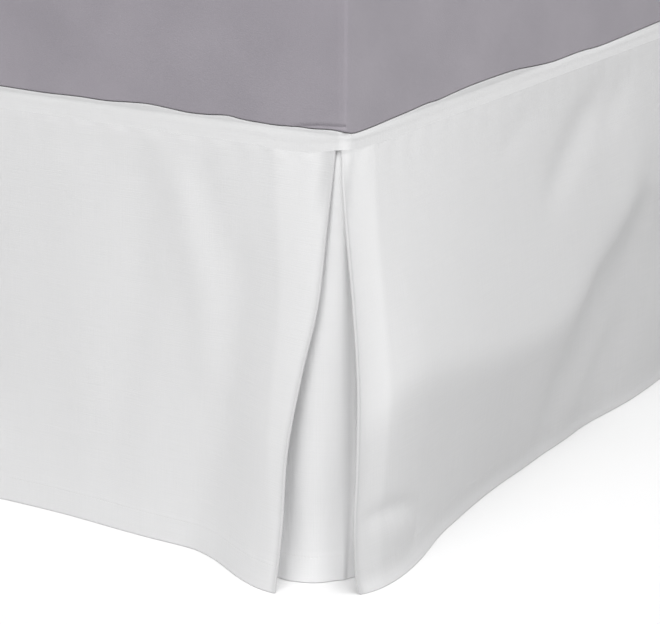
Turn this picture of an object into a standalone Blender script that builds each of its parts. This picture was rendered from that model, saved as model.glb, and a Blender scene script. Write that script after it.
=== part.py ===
"""A bed skirt on a plain mattress and base, for a bed 1.524 m wide and 2.032 m long.

The skirt is a deck over the base, with a lip turned down its sides and foot, three
drops that hang from the lip, and an underlay behind the pleat at each foot corner.
Metres, +Z up. +Y runs from foot to head, and the floor is at Z = 0.

Each drop is laid out on a face of the bed: `along` runs from the foot corner, `out` is
the distance in front of the face, and `share` runs from 0 at the seam to 1 at the hem.
"""
from collections import namedtuple
from math import cos, exp, hypot, pi, radians, sin

import bmesh
import bpy
from mathutils import Vector

# The bed
BED_WIDTH = 1.524
BED_LENGTH = 2.032
DECK_TOP = 0.382
HEM_HEIGHT = 0.0025
UNDERLAY_HEM_HEIGHT = 0.002
PIECE_GAP = 0.0003
HALF_WIDTH = BED_WIDTH / 2
HALF_LENGTH = BED_LENGTH / 2

# The cloth
CLOTH = 0.0012
LAYER_PITCH = 0.0016
FOLD_RADIUS = LAYER_PITCH / 2
FOLD_STEPS = 5
CORNER_RADIUS = 0.009
CORNER_STEP = radians(20)
LIP_HEIGHT = 0.015
SEAM_HEIGHT = DECK_TOP - LIP_HEIGHT
LIP_ROLL = 0.004
LIP_FLAT = 0.0065
HEAD_HEM_INSET = 0.004
WRAP_SHARE = 0.10
PINNED_SHARE = 0.12
SWING_REACH = 0.50
CURL_REACH = 0.012
BELLY_ROUNDING = 0.16
DRAW_IN = 0.022
DRAW_BACK = 0.018
INNER_FOLD_SLACK = 0.003

# Rows of the cloth, as shares of the way from the seam to the hem
ROWS = (0.0, 0.06, 0.14, 0.24, 0.35, 0.47, 0.59, 0.71, 0.82, 0.92, 1.0)

# Stations across a drop start this close together at a flap and widen to this
NEAR_STEP = 0.006
STEP_GROWTH = 0.12
FAR_STEP = 0.047
UNDERLAY_STEP = 0.012
LIP_STEP = 0.075
LIP_CORNER_STEPS = 4

# The mattress, the base and its legs
MATTRESS_HEIGHT = 0.250
MATTRESS_INSET = 0.002
MATTRESS_CORNER = 0.012
MATTRESS_BOTTOM_ROUND = 0.008
MATTRESS_TOP_ROUND = 0.022
BASE_INSET = 0.007
BASE_BOTTOM = 0.155
BASE_CORNER = 0.004
BASE_TOP_ROUND = 0.012
BASE_BOTTOM_ROUND = 0.004
LEG_TOP_RADIUS = 0.025
LEG_FOOT_RADIUS = 0.020
LEG_SIDE_INSET = 0.100
LEG_END_INSET = 0.110
LEG_SIDES = 20

# The foot flap stands out furthest, so the bed is set back by half of its reach
FOOT_REACH = 0.055
SETBACK = FOOT_REACH / 2

WHITE_CLOTH = (0.82, 0.82, 0.83)
GREY_TICKING = (0.33, 0.31, 0.34)
BASE_CLOTH = (0.30, 0.29, 0.30)
LEG_WOOD = (0.10, 0.07, 0.05)

EdgeRow = namedtuple("EdgeRow", "share along out")
Wave = namedtuple("Wave", "along out")
Fold = namedtuple("Fold", "along_1 height_1 along_2 height_2 half_width depth")
Rise = namedtuple("Rise", "along height half_width")
Flap = namedtuple("Flap", "return_width flare flare_reach edge")
Belly = namedtuple("Belly", "along bend_height depth")
Drop = namedtuple("Drop", "length flaps waves bellies folds")
HemRow = namedtuple("HemRow", "share along out")

# A flap's folded edge, row by row down the drop
RIGHT_FOOT_FLAP = Flap(0.057, 0.0457, 0.133, (
    EdgeRow(0.00, 0.0120, 0.000),
    EdgeRow(0.18, 0.0145, 0.010),
    EdgeRow(0.34, 0.0165, 0.020),
    EdgeRow(0.50, 0.0260, 0.030),
    EdgeRow(0.67, 0.0330, 0.041),
    EdgeRow(0.85, 0.0330, 0.050),
    EdgeRow(1.00, 0.0370, 0.055)))
RIGHT_SIDE_FLAP = Flap(0.0525, 0.0278, 0.156, (
    EdgeRow(0.00, -0.0004, 0.000),
    EdgeRow(0.07, -0.0080, 0.004),
    EdgeRow(0.18, -0.0149, 0.012),
    EdgeRow(0.31, -0.0192, 0.020),
    EdgeRow(0.50, -0.0241, 0.028),
    EdgeRow(0.68, -0.0301, 0.031),
    EdgeRow(0.82, -0.0318, 0.0302),
    EdgeRow(0.92, -0.0265, 0.0285),
    EdgeRow(1.00, -0.0186, 0.027)))
LEFT_FOOT_FLAP = Flap(0.055, 0.026, 0.170, (
    EdgeRow(0.00, 0.0120, 0.000),
    EdgeRow(0.25, 0.0130, 0.010),
    EdgeRow(0.55, 0.0190, 0.021),
    EdgeRow(0.80, 0.0240, 0.031),
    EdgeRow(1.00, 0.0235, 0.034)))
LEFT_SIDE_FLAP = Flap(0.054, 0.024, 0.220, (
    EdgeRow(0.00, -0.0004, 0.000),
    EdgeRow(0.12, -0.0060, 0.006),
    EdgeRow(0.40, -0.0080, 0.015),
    EdgeRow(0.70, -0.0120, 0.021),
    EdgeRow(1.00, -0.0165, 0.030)))

# How far the hem stands out between the flaps, how far the cloth bellies out above it
# and at what height it turns back, and the soft folds in each drop
FOOT_DROP = Drop(BED_WIDTH, (RIGHT_FOOT_FLAP, LEFT_FOOT_FLAP), (
    Wave(0.00, 0.009),
    Wave(0.15, 0.011),
    Wave(0.22, 0.0102),
    Wave(0.30, 0.0048),
    Wave(0.42, 0.008),
    Wave(0.58, 0.015),
    Wave(0.74, 0.006),
    Wave(0.93, 0.013),
    Wave(1.10, 0.006),
    Wave(1.27, 0.011),
    Wave(1.524, 0.008)), (
    Belly(0.00, 0.18, 0.000),
    Belly(0.30, 0.19, 0.002),
    Belly(0.70, 0.17, 0.006),
    Belly(1.10, 0.19, 0.003),
    Belly(1.40, 0.18, 0.002),
    Belly(1.524, 0.18, 0.000)), (
    Fold(0.185, 0.350, 0.150, 0.150, 0.024, 0.0018),
    Fold(0.115, 0.345, 0.095, 0.150, 0.020, 0.0016),
    Fold(0.262, 0.300, 0.238, 0.060, 0.030, 0.0020),
    Fold(0.410, 0.330, 0.372, 0.090, 0.034, -0.0035),
    Fold(0.640, 0.320, 0.585, 0.080, 0.040, 0.0040),
    Fold(0.860, 0.340, 0.905, 0.120, 0.038, -0.0035),
    Fold(1.150, 0.330, 1.185, 0.070, 0.036, 0.0040),
    Fold(1.360, 0.310, 1.385, 0.110, 0.026, -0.0030)))
RIGHT_DROP = Drop(BED_LENGTH, (RIGHT_SIDE_FLAP,), (
    Wave(0.00, 0.0063),
    Wave(0.10, 0.0213),
    Wave(0.25, 0.0083),
    Wave(0.38, 0.0087),
    Wave(0.47, 0.0076),
    Wave(0.56, 0.0112),
    Wave(0.75, 0.007),
    Wave(0.98, 0.014),
    Wave(1.20, 0.007),
    Wave(1.45, 0.015),
    Wave(1.70, 0.007),
    Wave(2.032, 0.010)), (
    Belly(0.00, 0.150, 0.000),
    Belly(0.03, 0.150, 0.009),
    Belly(0.06, 0.148, 0.019),
    Belly(0.09, 0.145, 0.025),
    Belly(0.15, 0.134, 0.026),
    Belly(0.25, 0.120, 0.025),
    Belly(0.37, 0.126, 0.024),
    Belly(0.46, 0.180, 0.025),
    Belly(0.54, 0.225, 0.024),
    Belly(0.80, 0.200, 0.012),
    Belly(1.30, 0.170, 0.010),
    Belly(2.032, 0.180, 0.004)), (
    Fold(0.548, 0.163, 0.363, 0.058, 0.024, -0.0030),
    Fold(0.475, 0.350, 0.340, 0.264, 0.018, -0.0035),
    Fold(0.545, 0.330, 0.510, 0.290, 0.018, -0.0030),
    Fold(0.065, 0.043, 0.020, 0.045, 0.016, 0.0035),
    Fold(0.700, 0.330, 0.640, 0.090, 0.040, 0.0040),
    Fold(0.920, 0.320, 0.870, 0.120, 0.045, -0.0045),
    Fold(1.180, 0.330, 1.225, 0.080, 0.045, 0.0045),
    Fold(1.500, 0.320, 1.440, 0.110, 0.045, -0.0040),
    Fold(1.780, 0.330, 1.815, 0.090, 0.045, 0.0035)))
LEFT_DROP = Drop(BED_LENGTH, (LEFT_SIDE_FLAP,), (
    Wave(0.00, 0.007),
    Wave(0.22, 0.012),
    Wave(0.43, 0.005),
    Wave(0.66, 0.014),
    Wave(0.90, 0.007),
    Wave(1.12, 0.013),
    Wave(1.40, 0.005),
    Wave(1.66, 0.014),
    Wave(2.032, 0.008)), (
    Belly(0.00, 0.15, 0.000),
    Belly(0.20, 0.15, 0.004),
    Belly(0.70, 0.18, 0.009),
    Belly(1.30, 0.15, 0.005),
    Belly(2.032, 0.17, 0.004)), (
    Fold(0.300, 0.330, 0.250, 0.100, 0.038, 0.0040),
    Fold(0.560, 0.330, 0.600, 0.120, 0.042, -0.0040),
    Fold(0.850, 0.320, 0.820, 0.080, 0.045, 0.0045),
    Fold(1.150, 0.330, 1.205, 0.110, 0.045, -0.0040),
    Fold(1.520, 0.330, 1.480, 0.090, 0.045, 0.0040),
    Fold(1.800, 0.320, 1.760, 0.120, 0.045, -0.0035)))

# The underlay's hem on each side of its corner, as shares of the way to the inner fold
RIGHT_FOOT_HEM = (
    HemRow(0.00, 0.0010, -0.0003),
    HemRow(0.12, 0.0065, 0.0055),
    HemRow(0.25, 0.0135, 0.0145),
    HemRow(0.38, 0.022, 0.0215),
    HemRow(0.58, 0.034, 0.027),
    HemRow(0.78, 0.046, 0.031),
    HemRow(1.00, 0.061, 0.030))
RIGHT_SIDE_HEM = (
    HemRow(0.00, 0.0003, -0.0010),
    HemRow(0.16, 0.0048, 0.0004),
    HemRow(0.30, 0.0084, 0.0024),
    HemRow(0.62, 0.0142, 0.0062),
    HemRow(1.00, 0.0190, 0.0105))
LEFT_FOOT_HEM = (
    HemRow(0.00, 0.001, 0.002),
    HemRow(0.35, 0.021, 0.012),
    HemRow(0.70, 0.042, 0.018),
    HemRow(1.00, 0.058, 0.020))
LEFT_SIDE_HEM = (
    HemRow(0.00, -0.002, -0.001),
    HemRow(0.35, 0.014, 0.010),
    HemRow(0.70, 0.028, 0.016),
    HemRow(1.00, 0.041, 0.019))

# Where the lip's upper edge puffs up or sinks, along each face from its foot corner
FOOT_RISES = (
    Rise(0.055, -0.0010, 0.030),
    Rise(0.108, 0.0025, 0.018),
    Rise(0.188, 0.0040, 0.024),
    Rise(0.420, 0.0030, 0.060),
    Rise(0.720, -0.0010, 0.090),
    Rise(0.980, 0.0035, 0.070),
    Rise(1.330, 0.0030, 0.060))
RIGHT_RISES = (
    Rise(0.012, -0.0040, 0.026),
    Rise(0.135, 0.0022, 0.040),
    Rise(0.240, 0.0045, 0.050),
    Rise(0.305, 0.0040, 0.026),
    Rise(0.400, -0.0010, 0.060),
    Rise(0.780, 0.0035, 0.080),
    Rise(1.250, 0.0040, 0.090),
    Rise(1.700, 0.0030, 0.080))
LEFT_RISES = (
    Rise(0.012, -0.0025, 0.026),
    Rise(0.210, 0.0030, 0.050),
    Rise(0.640, 0.0040, 0.080),
    Rise(1.120, 0.0030, 0.090),
    Rise(1.620, 0.0040, 0.080))


# --------------------------------------------------------------------------- numbers

def read_table(rows, place, column):
    """A smooth curve through one column of a table whose first column is sorted."""
    knots = [row[0] for row in rows]
    values = [getattr(row, column) for row in rows]
    place = min(max(place, knots[0]), knots[-1])
    last = len(rows) - 2
    here = min(max(i for i, knot in enumerate(knots) if knot <= place), last)
    span = knots[here + 1] - knots[here]

    def slope(i):
        before, after = max(i - 1, 0), min(i + 1, len(rows) - 1)
        return (values[after] - values[before]) / (knots[after] - knots[before]) * span

    t = (place - knots[here]) / span
    start, end = values[here], values[here + 1]
    return (start * (2 * t ** 3 - 3 * t ** 2 + 1) + slope(here) * (t ** 3 - 2 * t ** 2 + t)
            + end * (3 * t ** 2 - 2 * t ** 3) + slope(here + 1) * (t ** 3 - t ** 2))


def fade(distance, reach):
    """1 at no distance and 0 from `reach` on, level at both ends."""
    return cos(pi / 2 * min(max(distance / reach, 0), 1)) ** 2


def bell(distance, half_width):
    """1 at no distance, falling off like a bell."""
    return exp(-(distance / half_width) ** 2)


def ridge(fold, along, height):
    """How far one fold lifts the cloth at a place on its face."""
    run = Vector((fold.along_2 - fold.along_1, fold.height_2 - fold.height_1))
    here = Vector((along - fold.along_1, height - fold.height_1))
    share = min(max(here.dot(run) / run.length_squared, 0), 1)
    return fold.depth * bell((here - run * share).length, fold.half_width)


# ---------------------------------------------------------------- the drops' surfaces

def row_height(share, hem_height):
    """The height of a row between the seam and a hem."""
    top = SEAM_HEIGHT - PIECE_GAP
    return top - share * (top - hem_height)


def around_corner(along, radius=CORNER_RADIUS):
    """A place along the rounded corner of the bed, as (along, out) on its face."""
    if along >= CORNER_RADIUS:
        return along, 0.0
    turn = (CORNER_RADIUS - along) / CORNER_RADIUS
    return CORNER_RADIUS - radius * sin(turn), radius * (cos(turn) - 1)


def belly(drop, along, height):
    """How far the cloth bellies out at a place, most at the height where it turns back."""
    bend = read_table(drop.bellies, along, "bend_height")
    above = (SEAM_HEIGHT - height) / (SEAM_HEIGHT - bend)
    below = (height - HEM_HEIGHT) / (bend - HEM_HEIGHT)
    lower = (above + below - hypot(above - below, BELLY_ROUNDING)) / 2
    return read_table(drop.bellies, along, "depth") * max(lower, 0)


def edge_distances(drop, along):
    """The distance of a place from each flap's edge, and which way that flap lies."""
    first = along - drop.flaps[0].edge[0].along
    yield drop.flaps[0], first, 1
    if len(drop.flaps) > 1:
        yield drop.flaps[1], drop.length - drop.flaps[1].edge[0].along - along, -1


def front_point(drop, along, share):
    """The front layer's middle surface, as (along, out) on the drop's face."""
    height = row_height(share, HEM_HEIGHT)
    wave = share * read_table(drop.waves, along, "out")
    folds = sum(ridge(fold, along, height) for fold in drop.folds)
    out = (wave + belly(drop, along, height) + folds * min(share / PINNED_SHARE, 1)
           - CLOTH / 2)
    place = along
    for flap, distance, way in edge_distances(drop, along):
        edge_out = read_table(flap.edge, share, "out")
        edge_along = read_table(flap.edge, share, "along")
        edge_wave = share * drop.waves[0 if way > 0 else -1].out
        curl = edge_out - edge_wave - share * flap.flare
        out += share * flap.flare * fade(distance, flap.flare_reach)
        out += curl * exp(-max(distance, 0) / CURL_REACH)
        swing = max(1 - max(distance, 0) / SWING_REACH, 0) ** 2
        place += way * (edge_along - flap.edge[0].along) * swing
        wrap = max(1 - share / WRAP_SHARE, 0) ** 2
        from_corner = along if way > 0 else drop.length - along
        bent_along, bent_out = around_corner(from_corner, CORNER_RADIUS - CLOTH / 2)
        place += way * wrap * (bent_along - from_corner)
        out += wrap * bent_out
    return Vector((place, out))


def front_frame(drop, along, share):
    """A place on the front layer, with its directions along the face and inward."""
    step = 0.0005
    here = front_point(drop, along, share)
    ahead = front_point(drop, along + step, share) - front_point(drop, along - step, share)
    ahead.normalize()
    return here, ahead, Vector((ahead.y, -ahead.x))


def return_point(drop, flap, way, depth, share):
    """The turned-back layer of a flap, `depth` in from its folded edge."""
    start = flap.edge[0].along
    along = start + depth if way > 0 else drop.length - start - depth
    here, ahead, inward = front_frame(drop, along, share)
    part = depth / flap.return_width
    behind = LAYER_PITCH + DRAW_IN * part ** 2 * share
    return here + inward * behind - ahead * (way * DRAW_BACK * part ** 3 * share)


def return_end(drop, flap, way, share):
    """Where a return's inner fold carries the edge of the underlay behind it."""
    start = flap.edge[0].along + flap.return_width
    along = start if way > 0 else drop.length - start
    inward = front_frame(drop, along, share)[2]
    behind = LAYER_PITCH + INNER_FOLD_SLACK * share
    return return_point(drop, flap, way, flap.return_width, share) + inward * behind


def stations(near, far, limit):
    """Places from a flap's edge outward, close together at first."""
    places, step = [near], NEAR_STEP
    while places[-1] + step < far:
        places.append(places[-1] + step)
        step = min(NEAR_STEP + STEP_GROWTH * (places[-1] - near), limit)
    places.append(far)
    if len(places) > 2 and places[-1] - places[-2] < 0.5 * step:
        places.pop(-2)
    return places


def corner_places(start):
    """Stations that round the corner in even turns, from a flap's edge to the face."""
    turn = (CORNER_RADIUS - start) / CORNER_RADIUS
    count = max(round(turn / CORNER_STEP), 0)
    return [CORNER_RADIUS * (1 - turn * (count - i) / count) for i in range(count)]


def face_stations(flap, far):
    """Stations from a flap's edge, round the corner if it starts there, to `far`."""
    start = flap.edge[0].along
    first = max(start, CORNER_RADIUS)
    bend = corner_places(start) if start < CORNER_RADIUS else []
    return bend + stations(first, far, FAR_STEP)


def return_depths(flap):
    """Stations across a return, measured from the flap's edge."""
    start = flap.edge[0].along
    inner = start + flap.return_width
    return [place - start for place in face_stations(flap, inner)]


def drop_row(drop, share):
    """One row of a drop, from return to return or from a return to the head hem."""
    flap = drop.flaps[0]
    start = flap.edge[0].along
    if len(drop.flaps) > 1:
        other = drop.flaps[1]
        middle = drop.length / 2
        places = face_stations(flap, middle)
        mirrored = face_stations(other, middle)[:-1]
        places += [drop.length - place for place in reversed(mirrored)]
    else:
        places = face_stations(flap, drop.length - HEAD_HEM_INSET)
    depths = return_depths(flap)[1:]
    row = [return_point(drop, flap, 1, depth, share) for depth in reversed(depths)]
    row += outer_fold(drop, start, 1, share)[::-1]
    row += [front_point(drop, place, share) for place in places[1:]]
    if len(drop.flaps) > 1:
        row.pop()
        row += outer_fold(drop, drop.length - other.edge[0].along, -1, share)
        depths = return_depths(other)[1:]
        row += [return_point(drop, other, -1, depth, share) for depth in depths]
    return row


def outer_fold(drop, along, way, share):
    """The rounded outer fold, from the front layer to the return."""
    here, ahead, inward = front_frame(drop, along, share)
    row = []
    for i in range(FOLD_STEPS + 1):
        turn = pi * i / FOLD_STEPS
        row.append(here - ahead * (way * FOLD_RADIUS * sin(turn))
                   + inward * (FOLD_RADIUS * (1 - cos(turn))))
    return row


def underlay_half(drop, way, flap, hem_rows, share):
    """An underlay from the middle of its corner to the inner fold on one face."""
    inset = LAYER_PITCH * 2 + CLOTH / 2
    radius = CORNER_RADIUS - inset
    middle = CORNER_RADIUS * (1 - pi / 4)
    inner = flap.edge[0].along + flap.return_width
    places = corner_places(middle) + stations(CORNER_RADIUS, inner, UNDERLAY_STEP)
    parts = [(place - middle) / (inner - middle) for place in places]
    row = []
    for place, part in zip(places, parts):
        along, out = around_corner(place, radius)
        top = Vector((along, out - inset))
        hem = Vector((read_table(hem_rows, part, "along"), read_table(hem_rows, part, "out")))
        row.append(top.lerp(hem, share))
    end = return_end(drop, flap, way, share)
    if way < 0:
        end.x = drop.length - end.x
    miss = end - row[-1]
    return [point + miss * part ** 2 for point, part in zip(row, parts)]


# ---------------------------------------------------------------------- world places

def on_foot(point, side):
    """A place on the foot face, from the right corner (side 1) or the left (-1)."""
    return Vector((side * (HALF_WIDTH - point.x), -HALF_LENGTH - point.y))


def on_side(point, side):
    """A place on the right face (side 1) or the left face (-1)."""
    return Vector((side * (HALF_WIDTH + point.y), -HALF_LENGTH + point.x))


# -------------------------------------------------------------------- mesh and object

def make_material(name, colour, roughness):
    """A plain surface of one colour."""
    material = bpy.data.materials.new(name)
    material.use_nodes = True
    shader = material.node_tree.nodes["Principled BSDF"]
    shader.inputs["Base Color"].default_value = (*colour, 1)
    shader.inputs["Roughness"].default_value = roughness
    shader.inputs["Metallic"].default_value = 0
    material.diffuse_color = (*colour, 1)
    return material


def finish_object(name, mesh_data, material, parent):
    """An object from finished mesh data, smooth but for its sharp edges."""
    mesh = bpy.data.meshes.new(name)
    bmesh.ops.recalc_face_normals(mesh_data, faces=mesh_data.faces)
    mesh_data.to_mesh(mesh)
    mesh_data.free()
    mesh.materials.append(material)
    mesh.shade_smooth()
    mesh.set_sharp_from_angle(angle=radians(50))
    piece = bpy.data.objects.new(name, mesh)
    bpy.context.scene.collection.objects.link(piece)
    piece.parent = parent
    return piece


def thicken(piece):
    """Cloth thickness, half on each side of the modelled surface."""
    solidify = piece.modifiers.new("Cloth", "SOLIDIFY")
    solidify.thickness = CLOTH
    solidify.offset = 0
    return piece


def fill_grid(mesh_data, grid):
    """Faces between neighbouring rows of vertices."""
    for upper, lower in zip(grid, grid[1:]):
        for i in range(len(upper) - 1):
            mesh_data.faces.new((upper[i], upper[i + 1], lower[i + 1], lower[i]))


def make_sheet(name, rows, material, parent):
    """A cloth sheet through rows of world points."""
    mesh_data = bmesh.new()
    grid = [[mesh_data.verts.new(point) for point in row] for row in rows]
    fill_grid(mesh_data, grid)
    return thicken(finish_object(name, mesh_data, material, parent))


def rounded_outline(width, length, radius, steps):
    """A rectangle with rounded corners, as plan points anticlockwise."""
    points = []
    for corner, (side, end) in enumerate(((1, 1), (-1, 1), (-1, -1), (1, -1))):
        centre = Vector((side * (width / 2 - radius), end * (length / 2 - radius)))
        for i in range(steps + 1):
            turn = pi / 2 * (corner + i / steps)
            points.append(centre + Vector((cos(turn), sin(turn))) * radius)
    return points


def make_block(name, width, length, corner, levels, material, parent):
    """A block with rounded corners, from levels of (inset, height)."""
    mesh_data = bmesh.new()
    rings = []
    for inset, height in levels:
        radius = max(corner - inset, 0.001)
        outline = rounded_outline(width - 2 * inset, length - 2 * inset, radius, steps=4)
        rings.append([mesh_data.verts.new((*point, height)) for point in outline])
    for lower, upper in zip(rings, rings[1:]):
        for i, vertex in enumerate(lower):
            j = (i + 1) % len(lower)
            mesh_data.faces.new((vertex, lower[j], upper[j], upper[i]))
    mesh_data.faces.new(reversed(rings[0]))
    mesh_data.faces.new(rings[-1])
    return finish_object(name, mesh_data, material, parent)


def block_levels(bottom, top, bottom_round, top_round, steps=4):
    """(inset, height) of a block's rings, round at its lower and upper edges."""
    turns = [pi / 2 * i / steps for i in range(steps + 1)]
    levels = [(bottom_round * (1 - sin(turn)), bottom + bottom_round * (1 - cos(turn)))
              for turn in turns]
    levels += [(top_round * (1 - cos(turn)), top - top_round * (1 - sin(turn)))
               for turn in turns]
    return levels


# --------------------------------------------------------------------------- the skirt

def make_drop(name, drop, to_plan, side, material, parent):
    """A drop with its flaps, hung from the seam; `to_plan` places it on its face."""
    rows = []
    for share in ROWS:
        height = row_height(share, HEM_HEIGHT)
        rows.append([(*to_plan(point, side), height) for point in drop_row(drop, share)])
    return make_sheet(name, rows, material, parent)


def make_underlay(name, side, halves, material, parent):
    """The pleat's back layer round one foot corner, from the foot to the side."""
    foot_half, side_half = halves
    rows = []
    for share in ROWS:
        height = row_height(share, UNDERLAY_HEM_HEIGHT)
        foot = [on_foot(point, side) for point in underlay_half(*foot_half, share)]
        beside = [on_side(point, side) for point in underlay_half(*side_half, share)]
        rows.append([(*point, height) for point in foot[:0:-1] + beside])
    return make_sheet(name, rows, material, parent)


def lip_profile():
    """The lip's middle line as (inset, height, share of a rise, share of a bulge)."""
    middle = DECK_TOP - CLOTH / 2
    radius = LIP_ROLL - CLOTH / 2
    rows = [(LIP_FLAT, middle, 0.0, 0.0)]
    for angle, rise, bulge in ((90, 0.4, 0.0), (45, 1.0, 0.25), (0, 0.8, 0.35)):
        turn = radians(angle)
        inset = CLOTH / 2 + radius * (1 - cos(turn))
        rows.append((inset, middle - radius * (1 - sin(turn)), rise, bulge))
    rows.append((CLOTH / 2, SEAM_HEIGHT, 0.0, 0.0))
    return rows


def lip_path():
    """Plan stations of the lip from the right head end round the foot to the left one.

    Each is a place on the bed's outline, the way out from it, and its rise.
    """
    side_places = stations(CORNER_RADIUS, BED_LENGTH - HEAD_HEM_INSET, LIP_STEP)
    foot_places = stations(CORNER_RADIUS, HALF_WIDTH, LIP_STEP)
    path = []

    def rise_at(rises, along):
        return sum(rise.height * bell(along - rise.along, rise.half_width) for rise in rises)

    def add_side(places, side, rises):
        for along in places:
            outline = Vector((side * HALF_WIDTH, -HALF_LENGTH + along))
            path.append((outline, Vector((side, 0)), rise_at(rises, along)))

    def add_corner(side, start_rise, end_rise):
        centre = Vector((side * (HALF_WIDTH - CORNER_RADIUS), -HALF_LENGTH + CORNER_RADIUS))
        for i in range(1, LIP_CORNER_STEPS):
            turn = pi / 2 * i / LIP_CORNER_STEPS
            away = Vector((side * cos(turn), -sin(turn)))
            if side < 0:
                away = Vector((-sin(turn), -cos(turn)))
            mix = start_rise + (end_rise - start_rise) * i / LIP_CORNER_STEPS
            path.append((centre + away * CORNER_RADIUS, away, mix))

    add_side(side_places[::-1], 1, RIGHT_RISES)
    add_corner(1, rise_at(RIGHT_RISES, CORNER_RADIUS), rise_at(FOOT_RISES, CORNER_RADIUS))
    across = foot_places[:-1] + [BED_WIDTH - place for place in foot_places[::-1]]
    for along in across:
        outline = Vector((HALF_WIDTH - along, -HALF_LENGTH))
        path.append((outline, Vector((0, -1)), rise_at(FOOT_RISES, along)))
    left_start = rise_at(FOOT_RISES, BED_WIDTH - CORNER_RADIUS)
    add_corner(-1, left_start, rise_at(LEFT_RISES, CORNER_RADIUS))
    add_side(side_places, -1, LEFT_RISES)
    return path


def make_deck(material, parent):
    """The flat deck over the base, with its lip rolled down three sides."""
    mesh_data = bmesh.new()
    grid = []
    for inset, height, rise_share, bulge_share in lip_profile():
        row = []
        for outline, away, rise in lip_path():
            plan = outline - away * (inset - max(rise, 0) * bulge_share)
            row.append(mesh_data.verts.new((*plan, height + rise * rise_share)))
        grid.append(row)
    fill_grid(mesh_data, grid)
    mesh_data.faces.new(grid[0])
    return thicken(finish_object("deck", mesh_data, material, parent))


# ----------------------------------------------------------------------------- the bed

def make_mattress(material, parent):
    """A mattress on the deck, rounded at its edges."""
    bottom = DECK_TOP + PIECE_GAP
    levels = block_levels(bottom, bottom + MATTRESS_HEIGHT, MATTRESS_BOTTOM_ROUND, MATTRESS_TOP_ROUND)
    width = BED_WIDTH - 2 * MATTRESS_INSET
    length = BED_LENGTH - 2 * MATTRESS_INSET
    return make_block("mattress", width, length, MATTRESS_CORNER, levels, material, parent)


def make_base(material, parent):
    """The box base under the deck, inside the skirt."""
    top = DECK_TOP - CLOTH - PIECE_GAP
    levels = block_levels(BASE_BOTTOM, top, BASE_BOTTOM_ROUND, BASE_TOP_ROUND)
    width = BED_WIDTH - 2 * BASE_INSET
    length = BED_LENGTH - 2 * BASE_INSET
    return make_block("base", width, length, BASE_CORNER, levels, material, parent)


def make_legs(material, parent):
    """Six tapered legs, three down each side of the base."""
    height = BASE_BOTTOM - PIECE_GAP
    across = HALF_WIDTH - LEG_SIDE_INSET
    down = HALF_LENGTH - LEG_END_INSET
    legs = []
    for side in (-1, 1):
        for end in (-1, 0, 1):
            mesh_data = bmesh.new()
            bmesh.ops.create_cone(mesh_data, cap_ends=True, segments=LEG_SIDES, depth=height,
                                  radius1=LEG_FOOT_RADIUS, radius2=LEG_TOP_RADIUS)
            leg = finish_object(f"leg_{len(legs) + 1}", mesh_data, material, parent)
            leg.location = (side * across, end * down, height / 2)
            legs.append(leg)
    return legs


def main():
    """Build the bed and its skirt from an empty scene."""
    for old in list(bpy.data.objects):
        bpy.data.objects.remove(old, do_unlink=True)
    bed = bpy.data.objects.new("bed", None)
    bpy.context.scene.collection.objects.link(bed)
    bed.location.y = SETBACK

    white = make_material("white_cloth", WHITE_CLOTH, roughness=0.9)
    make_mattress(make_material("grey_ticking", GREY_TICKING, roughness=0.85), bed)
    make_base(make_material("base_cloth", BASE_CLOTH, roughness=0.9), bed)
    make_legs(make_material("leg_wood", LEG_WOOD, roughness=0.5), bed)
    make_deck(white, bed)

    make_drop("drop_foot", FOOT_DROP, on_foot, 1, white, bed)
    make_drop("drop_right", RIGHT_DROP, on_side, 1, white, bed)
    make_drop("drop_left", LEFT_DROP, on_side, -1, white, bed)
    right_halves = ((FOOT_DROP, 1, RIGHT_FOOT_FLAP, RIGHT_FOOT_HEM),
                    (RIGHT_DROP, 1, RIGHT_SIDE_FLAP, RIGHT_SIDE_HEM))
    left_halves = ((FOOT_DROP, -1, LEFT_FOOT_FLAP, LEFT_FOOT_HEM),
                   (LEFT_DROP, 1, LEFT_SIDE_FLAP, LEFT_SIDE_HEM))
    make_underlay("underlay_right", 1, right_halves, white, bed)
    make_underlay("underlay_left", -1, left_halves, white, bed)
    bpy.context.view_layer.update()


main()
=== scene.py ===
"""A tailored bed skirt on its mattress and base: cloth, ticking, legs, floor and light.

All sizes are in metres. A drop of the skirt is laid out on one face of the bed: `along`
runs from the foot corner, `out` is the distance in front of the face, and `share` runs
from 0 at the seam to 1 at the hem.
"""
import logging
import math
from dataclasses import dataclass, field
from enum import Enum

import bmesh
import bpy
import numpy as np
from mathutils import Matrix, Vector


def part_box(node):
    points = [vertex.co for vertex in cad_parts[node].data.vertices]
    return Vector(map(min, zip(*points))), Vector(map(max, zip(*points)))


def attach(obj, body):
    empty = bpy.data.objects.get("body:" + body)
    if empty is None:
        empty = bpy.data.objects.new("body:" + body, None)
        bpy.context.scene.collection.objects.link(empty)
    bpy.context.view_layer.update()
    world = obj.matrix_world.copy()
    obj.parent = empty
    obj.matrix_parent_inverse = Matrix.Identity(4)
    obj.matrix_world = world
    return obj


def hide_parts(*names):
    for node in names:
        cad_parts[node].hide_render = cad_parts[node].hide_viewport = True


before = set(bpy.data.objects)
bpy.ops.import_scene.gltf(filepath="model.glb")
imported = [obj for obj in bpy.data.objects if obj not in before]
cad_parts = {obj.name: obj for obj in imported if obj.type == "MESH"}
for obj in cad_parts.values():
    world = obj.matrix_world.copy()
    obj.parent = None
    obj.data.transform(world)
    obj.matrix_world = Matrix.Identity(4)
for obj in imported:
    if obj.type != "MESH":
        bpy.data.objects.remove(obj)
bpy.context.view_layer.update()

LOG = logging.getLogger("bed_skirt")
BODY = "root"
Array = np.ndarray

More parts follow.
